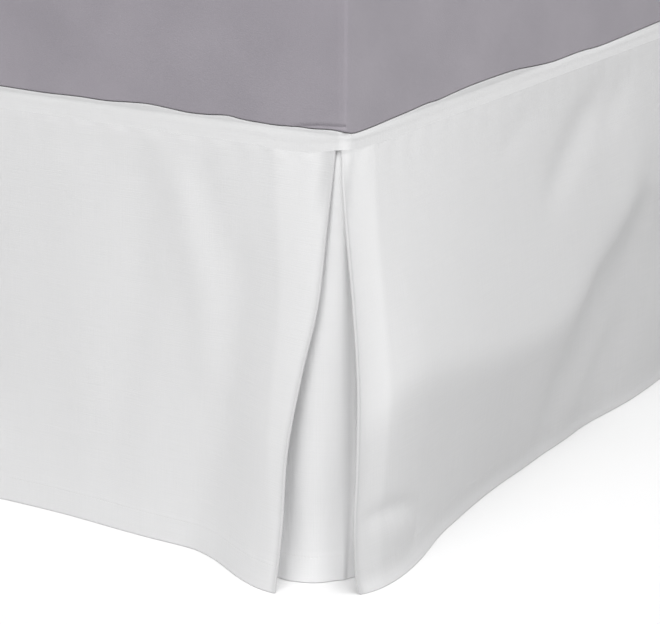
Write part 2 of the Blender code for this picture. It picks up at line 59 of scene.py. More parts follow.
# How far the mattress stands over the deck, how far apart two layers of cloth hang, and how
# far a drop's top and the deck's hem lie from the seam between them
MATTRESS_GAP = 0.0003
LAYER_PITCH = 0.0016
SEAM_GAP = 0.00001


# ------------------------------------------------------------------ tables of the cloth

@dataclass(frozen=True)
class EdgeRow:
    """A place on a flap's folded edge, `share` of the way from the seam to the hem."""

    share: float
    along: float
    out: float


@dataclass(frozen=True)
class Wave:
    """How far the hem stands out at one place along a face."""

    along: float
    out: float


@dataclass(frozen=True)
class Fold:
    """A soft ridge, or a trough where depth is negative, along a line of (along, height)."""

    route: tuple[tuple[float, float], ...]
    half_width: float
    depth: float

    def relief(self, along: Array, height: Array) -> Array:
        """How far the fold stands out at places on the cloth, half as much at its ends.

        Args:
            along: Places along the face.
            height: Their heights.

        Returns:
            How far each place stands out.
        """
        away, passed = route_distance(self.route, along, height)
        taper = np.sqrt(np.clip(4 * passed * (1 - passed), 0, 1)) * 0.5 + 0.5
        return self.depth * bell(away, self.half_width) * taper


@dataclass(frozen=True)
class BellyRow:
    """How high the cloth bends at one place along a face, and how far it bellies out there.

    `depth` is measured from the straight line between the seam and the hem.
    """

    along: float
    height: float
    depth: float


@dataclass(frozen=True)
class LineRow:
    """A value, such as a height or a depth, at one place along a face."""

    along: float
    value: float


@dataclass(frozen=True)
class HemRow:
    """A place on the underlay's hem, as a share of the way to the inner fold."""

    share: float
    along: float
    out: float


@dataclass(frozen=True)
class Flap:
    """The turned-back end of a drop, at one side of a corner pleat.

    `band` rows give the width of cloth that the return backs, by share.
    """

    return_width: float
    flare: float
    flare_reach: float
    edge: tuple[EdgeRow, ...]
    band: tuple[Wave, ...]

    @property
    def start(self) -> float:
        """Where the folded edge lies along its face at the seam."""
        return self.edge[0].along


def table(kind: type, *rows: tuple[float, ...]) -> tuple:
    """A table of one kind of row from its numbers."""
    return tuple(kind(*row) for row in rows)


def column(rows: tuple, name: str) -> Array:
    """The values of one field of a table, row by row."""
    return np.array([getattr(row, name) for row in rows])


def smooth(knots: Array, values: Array, places: Array) -> Array:
    """A smooth curve through a table, level beyond its ends.

    Args:
        knots: The sorted places of the table's rows.
        values: The value at each row.
        places: Where the curve is wanted.

    Returns:
        The curve's values, in the shape of `places`.
    """
    places = np.clip(places, knots[0], knots[-1])
    here = np.clip(np.searchsorted(knots, places, side="right") - 1, 0, len(knots) - 2)
    before, after = np.maximum(here - 1, 0), np.minimum(here + 2, len(knots) - 1)
    span = knots[here + 1] - knots[here]
    t = (places - knots[here]) / span
    first = (values[here + 1] - values[before]) / (knots[here + 1] - knots[before]) * span
    last = (values[after] - values[here]) / (knots[after] - knots[here]) * span
    return (values[here] * (2 * t ** 3 - 3 * t ** 2 + 1) + first * (t ** 3 - 2 * t ** 2 + t)
            + values[here + 1] * (3 * t ** 2 - 2 * t ** 3) + last * (t ** 3 - t ** 2))


def fade(distance: Array, reach: float) -> Array:
    """1 at no distance, 0 from `reach` on, and level at both."""
    return np.cos(np.pi / 2 * np.clip(distance / reach, 0, 1)) ** 2


def bell(distance: Array, half_width: float) -> Array:
    """1 at no distance, falling off like a bell."""
    return np.exp(-(distance / half_width) ** 2)


def step_up(value: Array, start: float, end: float) -> Array:
    """0 up to `start`, 1 from `end` on, and smooth between."""
    t = np.clip((value - start) / (end - start), 0, 1)
    return t * t * (3 - 2 * t)


def step_down(value: Array, start: float, end: float) -> Array:
    """1 up to `start`, 0 from `end` on, and smooth between."""
    return step_up(-value, -end, -start)


def route_distance(route: tuple[tuple[float, float], ...], along: Array,
                   height: Array) -> tuple[Array, Array]:
    """How far places lie from a line of points, and how far along it.

    Args:
        route: The line's points as (along, height).
        along: The places' first coordinate.
        height: The places' second coordinate.

    Returns:
        The distance to the line, and the share of its length at the nearest point.
    """
    points = np.array(route)
    runs = np.diff(points, axis=0)
    lengths = np.hypot(runs[:, 0], runs[:, 1])
    passed = np.concatenate([[0], np.cumsum(lengths)])
    best = np.full(along.shape, np.inf)
    share = np.zeros(along.shape)
    for start, run, length, before in zip(points, runs, lengths, passed):
        t = ((along - start[0]) * run[0] + (height - start[1]) * run[1]) / length ** 2
        t = np.clip(t, 0, 1)
        away = np.hypot(along - start[0] - t * run[0], height - start[1] - t * run[1])
        nearer = away < best
        best = np.where(nearer, away, best)
        share = np.where(nearer, (before + t * length) / passed[-1], share)
    return best, share


# ------------------------------------------------------------------------------ the bed

class Face(Enum):
    """The faces of the bed that a drop hangs on."""

    FOOT = "foot"
    RIGHT = "right"
    LEFT = "left"


@dataclass(frozen=True)
class Bed:
    """The bed's outline and heights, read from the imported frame.

    The sags are how far the soft cloth hangs lower than its solids. `even_share` is the
    share of the corner radius over which a drawn-in outline stays even.
    """

    half_width: float
    half_length: float
    centre_y: float
    deck_top: float
    seam: float
    hem: float
    underlay_hem: float
    head_end: float
    corner_radius: float = 0.009
    even_share: float = 0.4
    mattress_inset: float = 0.002
    drop_sag: float = 0.0019
    underlay_sag: float = 0.0014

    @classmethod
    def from_frame(cls) -> "Bed":
        """Reads the bed's sizes from the frame's nodes.

        Returns:
            The bed.
        """
        low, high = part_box("mattress")
        drop_low, drop_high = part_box("drop_foot")
        inset = cls.mattress_inset
        half_length = (high[1] - low[1]) / 2 + inset
        centre = (high[1] + low[1]) / 2
        return cls(half_width=(high[0] - low[0]) / 2 + inset, half_length=half_length,
                   centre_y=centre, deck_top=low[2] - MATTRESS_GAP, seam=drop_high[2],
                   hem=drop_low[2] - cls.drop_sag,
                   underlay_hem=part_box("underlay_right")[0][2] - cls.underlay_sag,
                   head_end=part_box("drop_right")[1][1] - centre + half_length)

    def to_plan(self, face: Face, along: Array, out: Array) -> tuple[Array, Array]:
        """Plan places of points on a face.

        Args:
            face: The face they lie on; the foot is measured from its right corner.
            along: Distances along the face.
            out: Distances in front of it.

        Returns:
            Their x and y.
        """
        foot_y = self.centre_y - self.half_length
        if face is Face.FOOT:
            return self.half_width - along, foot_y - out
        side = 1 if face is Face.RIGHT else -1
        return side * (self.half_width + out), foot_y + along

    def draw_in(self, outline: tuple[Array, Array, Array, Array], depth: Array,
                still_y: float) -> tuple[Array, Array]:
        """Moves an outline in from the bed's edge, so that its corners don't cross.

        Args:
            outline: Its x and y, and its outward x and y.
            depth: How far in from the edge it moves.
            still_y: The y that stays in place.

        Returns:
            The moved x and y.
        """
        x, y, away_x, away_y = outline
        near = np.minimum(depth, self.even_share * self.corner_radius)
        rest = depth - near
        reach = still_y - (self.centre_y - self.half_length)
        return (x * (1 - rest / self.half_width) - away_x * near,
                y + (still_y - y) * rest / reach - away_y * near)

    def around_corner(self, along: Array, radius: float) -> tuple[Array, Array]:
        """Follows the bed's rounded foot corner.

        Args:
            along: Distances along a face's outline, which bends near the corner.
            radius: The corner radius of the line that is followed.

        Returns:
            The places as (along, out) on the face.
        """
        turn = np.maximum((self.corner_radius - along) / self.corner_radius, 0)
        bent = self.corner_radius - radius * np.sin(turn)
        return np.where(turn > 0, bent, along), radius * (np.cos(turn) - 1)


@dataclass(frozen=True)
class EdgeLine:
    """A value that changes along the three skirted faces and is level at the head.

    It levels out over the last `head_run` of the sides.
    """

    bed: Bed
    rows: dict[Face, tuple[LineRow, ...]]
    head: float
    head_run: float = 0.06

    def at(self, face: Face, along: Array) -> Array:
        """The value along one face."""
        rows = self.rows[face]
        return smooth(column(rows, "along"), column(rows, "value"), along)

    def around(self, x: Array, y: Array, away_x: Array, away_y: Array) -> Array:
        """The value at plan places on the bed's outline, mixed round its corners.

        Args:
            x: The places' x.
            y: The places' y.
            away_x: The x of the direction out of the bed.
            away_y: The y of that direction.

        Returns:
            The values.
        """
        from_foot = y - self.bed.centre_y + self.bed.half_length
        from_right = self.bed.half_width - x
        total = self.head * np.maximum(away_y, 0) ** 2
        total = total + self.at(Face.FOOT, from_right) * np.maximum(-away_y, 0) ** 2
        total += self.at(Face.RIGHT, from_foot) * np.maximum(away_x, 0) ** 2
        total += self.at(Face.LEFT, from_foot) * np.maximum(-away_x, 0) ** 2
        near_head = step_up(2 * self.bed.half_length - from_foot, 0, self.head_run)
        return self.head + (total - self.head) * near_head


# ---------------------------------------------------------------------------- materials

class Nodes:
    """A material's node tree, with short calls for the nodes that finishes use."""

    def __init__(self, name: str) -> None:
        """Starts a material with its shader and output.

        Args:
            name: The material's name.
        """
        self.material = bpy.data.materials.new(name)
        self.material.use_nodes = True
        self.tree = self.material.node_tree
        self.shader = self.tree.nodes["Principled BSDF"]

    def link(self, source: bpy.types.NodeSocket, target: bpy.types.NodeSocket) -> None:
        """Joins two sockets."""
        self.tree.links.new(source, target)

    def math(self, operation: str, first: object,
             second: object = 0.0) -> bpy.types.NodeSocket:
        """A Math node on sockets or numbers.

        Args:
            operation: Blender's name of the operation.
            first: A socket or a number.
            second: A socket or a number.

        Returns:
            The result's socket.
        """
        node = self.tree.nodes.new("ShaderNodeMath")
        node.operation = operation
        for socket, value in zip(node.inputs, (first, second)):
            if isinstance(value, (int, float)):
                socket.default_value = value
            else:
                self.link(value, socket)
        return node.outputs[0]

    def step(self, value: bpy.types.NodeSocket, start: float,
             end: float) -> bpy.types.NodeSocket:
        """A smooth step of a socket from 0 at `start` to 1 at `end`.

        Args:
            value: The socket.
            start: Where the step starts.
            end: Where it ends.

        Returns:
            The step's socket.
        """
        node = self.tree.nodes.new("ShaderNodeMapRange")
        node.interpolation_type = "SMOOTHSTEP"
        node.inputs["From Min"].default_value = start
        node.inputs["From Max"].default_value = end
        self.link(value, node.inputs["Value"])
        return node.outputs["Result"]

    def noise(self, coordinates: bpy.types.NodeSocket, stretch: tuple[float, float, float],
              detail: float = 2.0) -> bpy.types.NodeSocket:
        """Noise on stretched coordinates.

        Args:
            coordinates: The coordinates' socket.
            stretch: Cells for each metre in each direction.
            detail: The noise's octaves.

        Returns:
            The noise's value socket, about 0.5 on average.
        """
        mapping = self.tree.nodes.new("ShaderNodeMapping")
        mapping.inputs["Scale"].default_value = stretch
        self.link(coordinates, mapping.inputs["Vector"])
        node = self.tree.nodes.new("ShaderNodeTexNoise")
        node.inputs["Scale"].default_value = 1.0
        node.inputs["Detail"].default_value = detail
        self.link(mapping.outputs["Vector"], node.inputs["Vector"])
        return node.outputs["Fac"]

    def attribute(self, name: str) -> bpy.types.NodeSocket:
        """The value of a mesh attribute.

        Args:
            name: The attribute's name.

        Returns:
            The value's socket.
        """
        node = self.tree.nodes.new("ShaderNodeAttribute")
        node.attribute_name = name
        return node.outputs["Fac"]

    def coordinates(self, kind: str) -> bpy.types.NodeSocket:
        """Texture coordinates, UV or Object."""
        return self.tree.nodes.new("ShaderNodeTexCoord").outputs[kind]

    def separate(self, vector: bpy.types.NodeSocket) -> tuple[bpy.types.NodeSocket, ...]:
        """The parts of a vector.

        Args:
            vector: The vector's socket.

        Returns:
            The sockets of its x, y and z.
        """
        node = self.tree.nodes.new("ShaderNodeSeparateXYZ")
        self.link(vector, node.inputs[0])
        return tuple(node.outputs)

    def mix(self, share: bpy.types.NodeSocket, first: object,
            second: object) -> bpy.types.NodeSocket:
        """A colour between two, each a socket or (red, green, blue).

        Args:
            share: How much of the second colour shows.
            first: The first colour.
            second: The second colour.

        Returns:
            The colour's socket.
        """
        node = self.tree.nodes.new("ShaderNodeMix")
        node.data_type = "RGBA"
        self.link(share, node.inputs["Factor"])
        # The colour sockets go by number, as the node has others of the same names
        for socket, colour in zip((node.inputs[6], node.inputs[7]), (first, second)):
            if isinstance(colour, tuple):
                socket.default_value = (*colour, 1)
            else:
                self.link(colour, socket)
        return node.outputs[2]

    def surface(self, colour: bpy.types.NodeSocket, values: dict[str, float]) -> None:
        """Links the shader's colour and sets its constant inputs.

        Args:
            colour: The colour's socket.
            values: The constants, by the name of the shader's input.
        """
        self.link(colour, self.shader.inputs["Base Color"])
        for name, value in values.items():
            self.shader.inputs[name].default_value = value

    def bump(self, height: bpy.types.NodeSocket, distance: float,
             strength: float) -> None:
        """Adds relief on top of any that the shader has.

        Args:
            height: The relief's height, about 0 to 1.
            distance: What a height of 1 stands for, in metres.
            strength: How much of it is used.
        """
        node = self.tree.nodes.new("ShaderNodeBump")
        node.inputs["Distance"].default_value = distance
        node.inputs["Strength"].default_value = strength
        self.link(height, node.inputs["Height"])
        if self.shader.inputs["Normal"].links:
            self.link(self.shader.inputs["Normal"].links[0].from_socket, node.inputs["Normal"])
        self.link(node.outputs["Normal"], self.shader.inputs["Normal"])


@dataclass(frozen=True)
class WhiteCotton:
    """A white plain-weave cloth, from `darkest_painted_shade` to `layers_and_painted_light` by
    the mesh's own attribute.

    The attribute makes the cloth lighter where a return lies behind it, and it carries
    painted shade and painted light. The cells are the uneven places of the yarns for each
    metre, and `slub_shade` is how much lighter the thick ones are. A relief is a height in
    metres and its strength. The stitches run in a line `stitch_height` over the hem.
    """

    darkest_painted_shade: tuple[float, float, float] = (0.600, 0.600, 0.604)
    layers_and_painted_light: tuple[float, float, float] = (0.900, 0.900, 0.904)
    roughness: float = 0.88
    sheen: float = 0.12
    sheen_roughness: float = 0.5
    specular: float = 0.25
    warp_cells: tuple[float, float, float] = (1500, 26, 1)
    weft_cells: tuple[float, float, float] = (22, 1500, 1)
    slub_range: tuple[float, float] = (0.65, 1.35)
    slub_shade: float = 0.10
    slub_relief: tuple[float, float] = (0.00018, 0.8)
    thread: float = 0.00055
    weave_relief: tuple[float, float] = (0.00006, 0.8)
    stitch_height: float = 0.0225
    stitch_length: float = 0.0032
    stitch_groove: tuple[float, float] = (0.0009, 0.0002)
    stitch_dash: tuple[float, float] = (-0.6, 0.2)
    stitch_relief: tuple[float, float] = (0.00014, 0.9)

    def build(self) -> bpy.types.Material:
        """The cloth's material, on the cut's own UV map and edge distances.

        Returns:
            The material.
        """
        nodes = Nodes("white_cotton")
        cloth = nodes.coordinates("UV")
        across, down, _ = nodes.separate(cloth)
        # The colour follows the mesh attribute: lighter for a return behind, and painted shade
        # and painted light
        colour = nodes.mix(nodes.attribute("layers_and_painted_shade"), self.darkest_painted_shade, self.layers_and_painted_light)
        slub = nodes.math("ADD", nodes.noise(cloth, self.warp_cells),
                          nodes.noise(cloth, self.weft_cells))
        shade = nodes.math("MULTIPLY", nodes.step(slub, *self.slub_range), self.slub_shade)
        nodes.surface(nodes.mix(shade, colour, self.layers_and_painted_light), {
            "Roughness": self.roughness, "Sheen Weight": self.sheen,
            "Sheen Roughness": self.sheen_roughness, "Specular IOR Level": self.specular})
        over = nodes.math("SINE", nodes.math("MULTIPLY", across, math.pi / self.thread))
        under = nodes.math("SINE", nodes.math("MULTIPLY", down, math.pi / self.thread))
        weave = nodes.math("MULTIPLY", over, under)
        nodes.bump(nodes.math("MULTIPLY_ADD", weave, 0.5), *self.weave_relief)
        nodes.bump(slub, *self.slub_relief)
        from_stitches = nodes.math("SUBTRACT", nodes.attribute("from_hem"), self.stitch_height)
        groove = nodes.step(nodes.math("ABSOLUTE", from_stitches), *self.stitch_groove)
        beat = nodes.math("MULTIPLY", across, 2 * math.pi / self.stitch_length)
        dash = nodes.step(nodes.math("SINE", beat), *self.stitch_dash)
        sunk = nodes.math("MULTIPLY", nodes.math("MULTIPLY", groove, dash), -1.0)
        nodes.bump(sunk, *self.stitch_relief)
        return nodes.material


@dataclass(frozen=True)
class GreyTicking:
    """A brushed grey cover cloth, mottled between two shades.

    Cells are counted for each metre, and a relief is a height in metres and its strength.
    """

    light: tuple[float, float, float] = (0.339, 0.316, 0.350)
    dark: tuple[float, float, float] = (0.296, 0.277, 0.308)
    roughness: float = 0.9
    sheen: float = 0.2
    specular: float = 0.25
    mottle_cells: tuple[float, float, float] = (14, 14, 14)
    mottle_share: float = 0.7
    fibre_cells: tuple[float, float, float] = (900, 900, 1400)
    fibre_relief: tuple[float, float] = (0.0003, 0.6)
    shade_range: tuple[float, float] = (0.25, 0.75)

    def build(self) -> bpy.types.Material:
        """The cover's material, on Object coordinates.

        Returns:
            The material.
        """
        nodes = Nodes("grey_ticking")
        place = nodes.coordinates("Object")
        fibre = nodes.noise(place, self.fibre_cells)
        mottle = nodes.noise(place, self.mottle_cells, detail=4)
        share = nodes.math("ADD", nodes.math("MULTIPLY", mottle, self.mottle_share),
                           nodes.math("MULTIPLY", fibre, 1 - self.mottle_share))
        nodes.surface(nodes.mix(nodes.step(share, *self.shade_range), self.dark, self.light), {
            "Roughness": self.roughness, "Sheen Weight": self.sheen,
            "Specular IOR Level": self.specular})
        nodes.bump(fibre, *self.fibre_relief)
        return nodes.material


@dataclass(frozen=True)
class BaseCloth:
    """The coarse woven cover of the base."""

    light: tuple[float, float, float] = (0.33, 0.32, 0.33)
    dark: tuple[float, float, float] = (0.25, 0.24, 0.25)
    roughness: float = 0.92
    weft_cells: tuple[float, float, float] = (60, 60, 1200)
    warp_cells: tuple[float, float, float] = (1200, 1200, 60)
    shade_range: tuple[float, float] = (0.7, 1.3)
    weave_relief: tuple[float, float] = (0.0005, 0.7)

    def build(self) -> bpy.types.Material:
        """The base's material, on Object coordinates.

        Returns:
            The material.
        """
        nodes = Nodes("base_cloth")
        place = nodes.coordinates("Object")
        weave = nodes.math("ADD", nodes.noise(place, self.weft_cells),
                           nodes.noise(place, self.warp_cells))
        nodes.surface(nodes.mix(nodes.step(weave, *self.shade_range), self.dark, self.light),
                      {"Roughness": self.roughness})
        nodes.bump(weave, *self.weave_relief)
        return nodes.material


@dataclass(frozen=True)
class StainedWood:
    """Dark stained wood with its grain up the leg."""

    light: tuple[float, float, float] = (0.135, 0.085, 0.052)
    dark: tuple[float, float, float] = (0.060, 0.036, 0.022)
    roughness: float = 0.42
    grain_cells: tuple[float, float, float] = (160, 160, 9)
    grain_range: tuple[float, float] = (0.35, 0.65)
    grain_relief: tuple[float, float] = (0.0003, 0.4)

    def build(self) -> bpy.types.Material:
        """The legs' material, on Object coordinates.

        Returns:
            The material.
        """
        nodes = Nodes("stained_wood")
        grain = nodes.noise(nodes.coordinates("Object"), self.grain_cells, detail=5)
        nodes.surface(nodes.mix(nodes.step(grain, *self.grain_range), self.dark, self.light),
                      {"Roughness": self.roughness})
        nodes.bump(grain, *self.grain_relief)
        return nodes.material


@dataclass(frozen=True)
class PaleFloor:
    """A plain matt studio floor."""

    colour: tuple[float, float, float] = (0.86, 0.86, 0.86)
    roughness: float = 0.9
    specular: float = 0.1

    def build(self) -> bpy.types.Material:
        """The floor's material.

        Returns:
            The material.
        """
        nodes = Nodes("pale_floor")
        nodes.shader.inputs["Base Color"].default_value = (*self.colour, 1)
        nodes.shader.inputs["Roughness"].default_value = self.roughness
        nodes.shader.inputs["Specular IOR Level"].default_value = self.specular
        return nodes.material


# --------------------------------------------------------------------------- mesh tools

def deselect_all() -> None:
    """Leaves nothing selected and nothing active."""
    for item in bpy.context.selected_objects:
        item.select_set(False)
    bpy.context.view_layer.objects.active = None


def apply_modifiers(piece: bpy.types.Object) -> None:
    """Applies every modifier of a piece, in order.

    Args:
        piece: The piece.
    """
    deselect_all()
    piece.select_set(True)
    bpy.context.view_layer.objects.active = piece
    for modifier in list(piece.modifiers):
        bpy.ops.object.modifier_apply(modifier=modifier.name)
    deselect_all()


def link_mesh(name: str, mesh: bpy.types.Mesh,
              material: bpy.types.Material) -> bpy.types.Object:
    """Puts a mesh in the scene as a smooth piece.

    Args:
        name: The piece's name.
        mesh: Its mesh.
        material: Its finish.

    Returns:
        The piece.
    """
    piece = bpy.data.objects.new(name, mesh)
    bpy.context.scene.collection.objects.link(piece)
    mesh.materials.append(material)
    mesh.shade_smooth()
    return piece


@dataclass
class SheetGrid:
    """A grid of cloth points with the cut's own coordinates and edge distances."""

    x: Array
    y: Array
    z: Array
    across: Array
    down: Array
    # How light the cloth is: lighter for a return behind it, with painted shade and painted
    # light
    layers_and_painted_shade: Array
    from_hem: Array

    def mesh(self, name: str) -> bpy.types.Mesh:
        """The grid as a mesh, with its UV map and attributes.

        Args:
            name: The mesh's name.

        Returns:
            The mesh, one face for each cell.
        """
        rows, columns = self.x.shape
        points = np.stack([self.x, self.y, self.z], axis=-1).reshape(-1, 3)
        index = np.arange(rows * columns).reshape(rows, columns)
        cells = np.stack([index[:-1, :-1], index[:-1, 1:], index[1:, 1:], index[1:, :-1]],
                         axis=-1).reshape(-1, 4)
        mesh = bpy.data.meshes.new(name)
        mesh.from_pydata(points.tolist(), [], cells.tolist())
        for label, values in (("layers_and_painted_shade", self.layers_and_painted_shade), ("from_hem", self.from_hem)):
            layer = mesh.attributes.new(label, "FLOAT", "POINT")
            layer.data.foreach_set("value", values.reshape(-1).astype(np.float32))
        self.write_map(mesh)
        return mesh

    def write_map(self, mesh: bpy.types.Mesh) -> None:
        """Writes the cut's coordinates, in metres, as the mesh's UV map.

        Args:
            mesh: The mesh of this grid.
        """
        corners = np.empty(len(mesh.loops), dtype=np.int32)
        mesh.loops.foreach_get("vertex_index", corners)
        flat = np.stack([self.across.reshape(-1), self.down.reshape(-1)], axis=-1)
        uv = mesh.uv_layers.new(name="cloth")
        uv.data.foreach_set("uv", flat[corners].reshape(-1).astype(np.float32))


@dataclass(frozen=True)
class ClothMaker:
    """Turns sheets into cloth pieces of one finish and thickness, with crisp cut edges."""

    material: bpy.types.Material
    thickness: float = 0.0010
    crisp_angle: float = 60.0

    def finish(self, name: str, mesh: bpy.types.Mesh) -> bpy.types.Object:
        """Gives a sheet its thickness and its place in the frame.

        Args:
            name: The piece's name.
            mesh: The cloth's middle surface.

        Returns:
            The finished piece, riding on the bed.
        """
        piece = link_mesh(name, mesh, self.material)
        solidify = piece.modifiers.new("Cloth", "SOLIDIFY")
        solidify.thickness = self.thickness
        solidify.offset = 0
        apply_modifiers(piece)
        piece.data.set_sharp_from_angle(angle=math.radians(self.crisp_angle))
        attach(piece, BODY)
        return piece


def graded(length: float, near: float, far: float, growth: float = 0.016) -> Array:
    """Stations over a length, close together at its start.

    Args:
        length: The length to cover.
        near: The first step.
        far: The longest step.
        growth: How much a step grows with each metre.

    Returns:
        The stations, from 0 to the length.
    """
    places, step = [0.0], near
    while places[-1] + step < length:
        places.append(places[-1] + step)
        step = min(near + growth * places[-1], far)
    if length - places[-1] < 0.5 * step and len(places) > 1:
        places.pop()
    return np.array(places + [length])


# ---------------------------------------------------------------------------- the drops

# Distances of a drop's rows below the seam and above the hem, and where the even rows
# between them start and end
SEAM_ROWS = (0.0, 0.0006, 0.0012, 0.0020, 0.0030, 0.0045, 0.0065, 0.009, 0.012, 0.016)
HEM_ROWS = (0.0, 0.0006, 0.003, 0.008, 0.013, 0.018, 0.0212, 0.0225, 0.0238, 0.0246,
            0.0254, 0.0262, 0.0285, 0.032)
EVEN_ROWS = (0.021, 0.034)


@dataclass
class Ripples:
    """The small unevenness of hanging cloth, mostly upright, drawn from a seed.

    The pairs are the least and the most of what is drawn.
    """

    seed: int
    count: int = 26
    widths: tuple[float, float] = (0.045, 0.30)
    heights: tuple[float, float] = (0.16, 0.9)
    sizes: tuple[float, float] = (0.5, 1.0)
    wobble: float = 0.6
    depth: float = 0.0022
    waves: Array = field(init=False)

    def __post_init__(self) -> None:
        """Draws the ripples."""
        draw = np.random.default_rng(self.seed)
        self.waves = np.stack([draw.uniform(*self.widths, self.count),
                               draw.uniform(*self.heights, self.count),
                               draw.uniform(0, 2 * np.pi, self.count),
                               draw.uniform(*self.sizes, self.count)
                               * draw.choice([-1, 1], self.count)])

    def at(self, along: Array, height: Array) -> Array:
        """How far the cloth stands out at places on it.

        Args:
            along: Places along the face.
            height: Their heights.

        Returns:
            How far each place stands out.
        """
        total = np.zeros(along.shape)
        for width, tall, phase, size in self.waves.T:
            bend = self.wobble * np.sin(height / tall * 2 * np.pi + phase * 3)
            total += size * width * np.sin(2 * np.pi * along / width + phase + bend)
        return self.depth * total / math.sqrt(self.count)


@dataclass(frozen=True)
class Puckers:
    """Small puckers along a stitched line, at a beat that drifts."""

    pitch: float
    drift: float
    drift_length: float
    size: float
    reach: float

    def at(self, along: Array, away: Array) -> Array:
        """How far the cloth stands out at places along the line and away from it.

        Args:
            along: Places along the line.
            away: How far they lie from it.

        Returns:
            How far each place stands out.
        """
        beat = np.sin(2 * np.pi * along / self.pitch
                      + self.drift * np.sin(along / self.drift_length))
        return self.size * beat * np.exp(-away / self.reach)


@dataclass(frozen=True)
class SeamFinish:
    """The stitched top of a drop: its puckers, and how far down its tuck reaches."""

    puckers: Puckers = Puckers(pitch=0.031, drift=2.2, drift_length=0.071, size=0.00040,
                               reach=0.022)
    pucker_start: float = 0.006
    tuck_reach: float = 0.0045
    tuck_power: float = 1.5

    def relief(self, along: Array, below: Array, tuck: Array) -> Array:
        """How far the cloth stands out under the seam.

        Args:
            along: Places along the face.
            below: How far they lie below the seam.
            tuck: How far the seam is drawn in over them.

        Returns:
            How far each place stands out.
        """
        total = self.puckers.at(along, below) * step_up(below, 0.0, self.pucker_start)
        return total - tuck * np.exp(-(below / self.tuck_reach) ** self.tuck_power)


@dataclass(frozen=True)
class HemFinish:
    """The turned-up hem of a drop: the step and puckers at its top, and its outward flip."""

    depth: float = 0.025
    step: float = 0.00012
    step_width: float = 0.0008
    puckers: Puckers = Puckers(pitch=0.023, drift=1.7, drift_length=0.057, size=0.00018,
                               reach=0.010)
    flip: float = 0.0
    flip_start: float = 0.016
    flip_reach: float = 0.06

    def relief(self, along: Array, above: Array) -> Array:
        """How far the cloth stands out over the hem's fold.

        Args:
            along: Places along the face.
            above: How far they lie above the fold.

        Returns:
            How far each place stands out.
        """
        total = self.puckers.at(along, np.abs(above - self.depth))
        total += self.step * step_down(above, self.depth - self.step_width,
                                       self.depth + self.step_width)
        flip = step_up(above, 0.0, self.flip_start) * np.exp(-above / self.flip_reach)
        return total - self.flip * flip


@dataclass(frozen=True)
class Shade:
    """How light a drop's cloth is, from 0 to 1.

    `single` is the cloth with nothing behind it, and `double` the cloth in front of a
    return. The rest is shade painted in, beyond what the lights give: `double`
    loses `double_fall` of its gain toward the hem. `lower` is what the cloth loses where
    it turns under a belly, except for `hem_gain` of it at the hem, `far` what it loses
    toward the head, and `corner` what it loses at a flap's top. Each pair is where a
    change starts and where it ends, in metres into the band, below the bend, over the
    floor, along the cloth or in from the folded edge, and for `corner_rows` as shares
    from the seam to the hem.
    """

    single: float = 0.37
    double: float = 0.51
    double_fall: float = 0.6
    double_edge: tuple[float, float] = (-0.005, 0.004)
    lower: float = 0.0
    lower_edge: tuple[float, float] = (-0.020, 0.030)
    hem_gain: float = 0.9
    hem_edge: tuple[float, float] = (0.003, 0.018)
    far: float = 0.0
    far_edge: tuple[float, float] = (-0.05, 0.50)
    corner: float = 0.4
    corner_edge: tuple[float, float] = (0.004, 0.016)
    corner_rows: tuple[float, float] = (0.06, 0.16)
    # Painted shade: the cloth goes to the darkest at a flap's folded edge
    fold_edge: tuple[float, float] = (-0.001, 0.0045)
    # Painted light: the return is nearly the lightest, in the shaded pocket behind its flap
    turned_back: float = 0.95


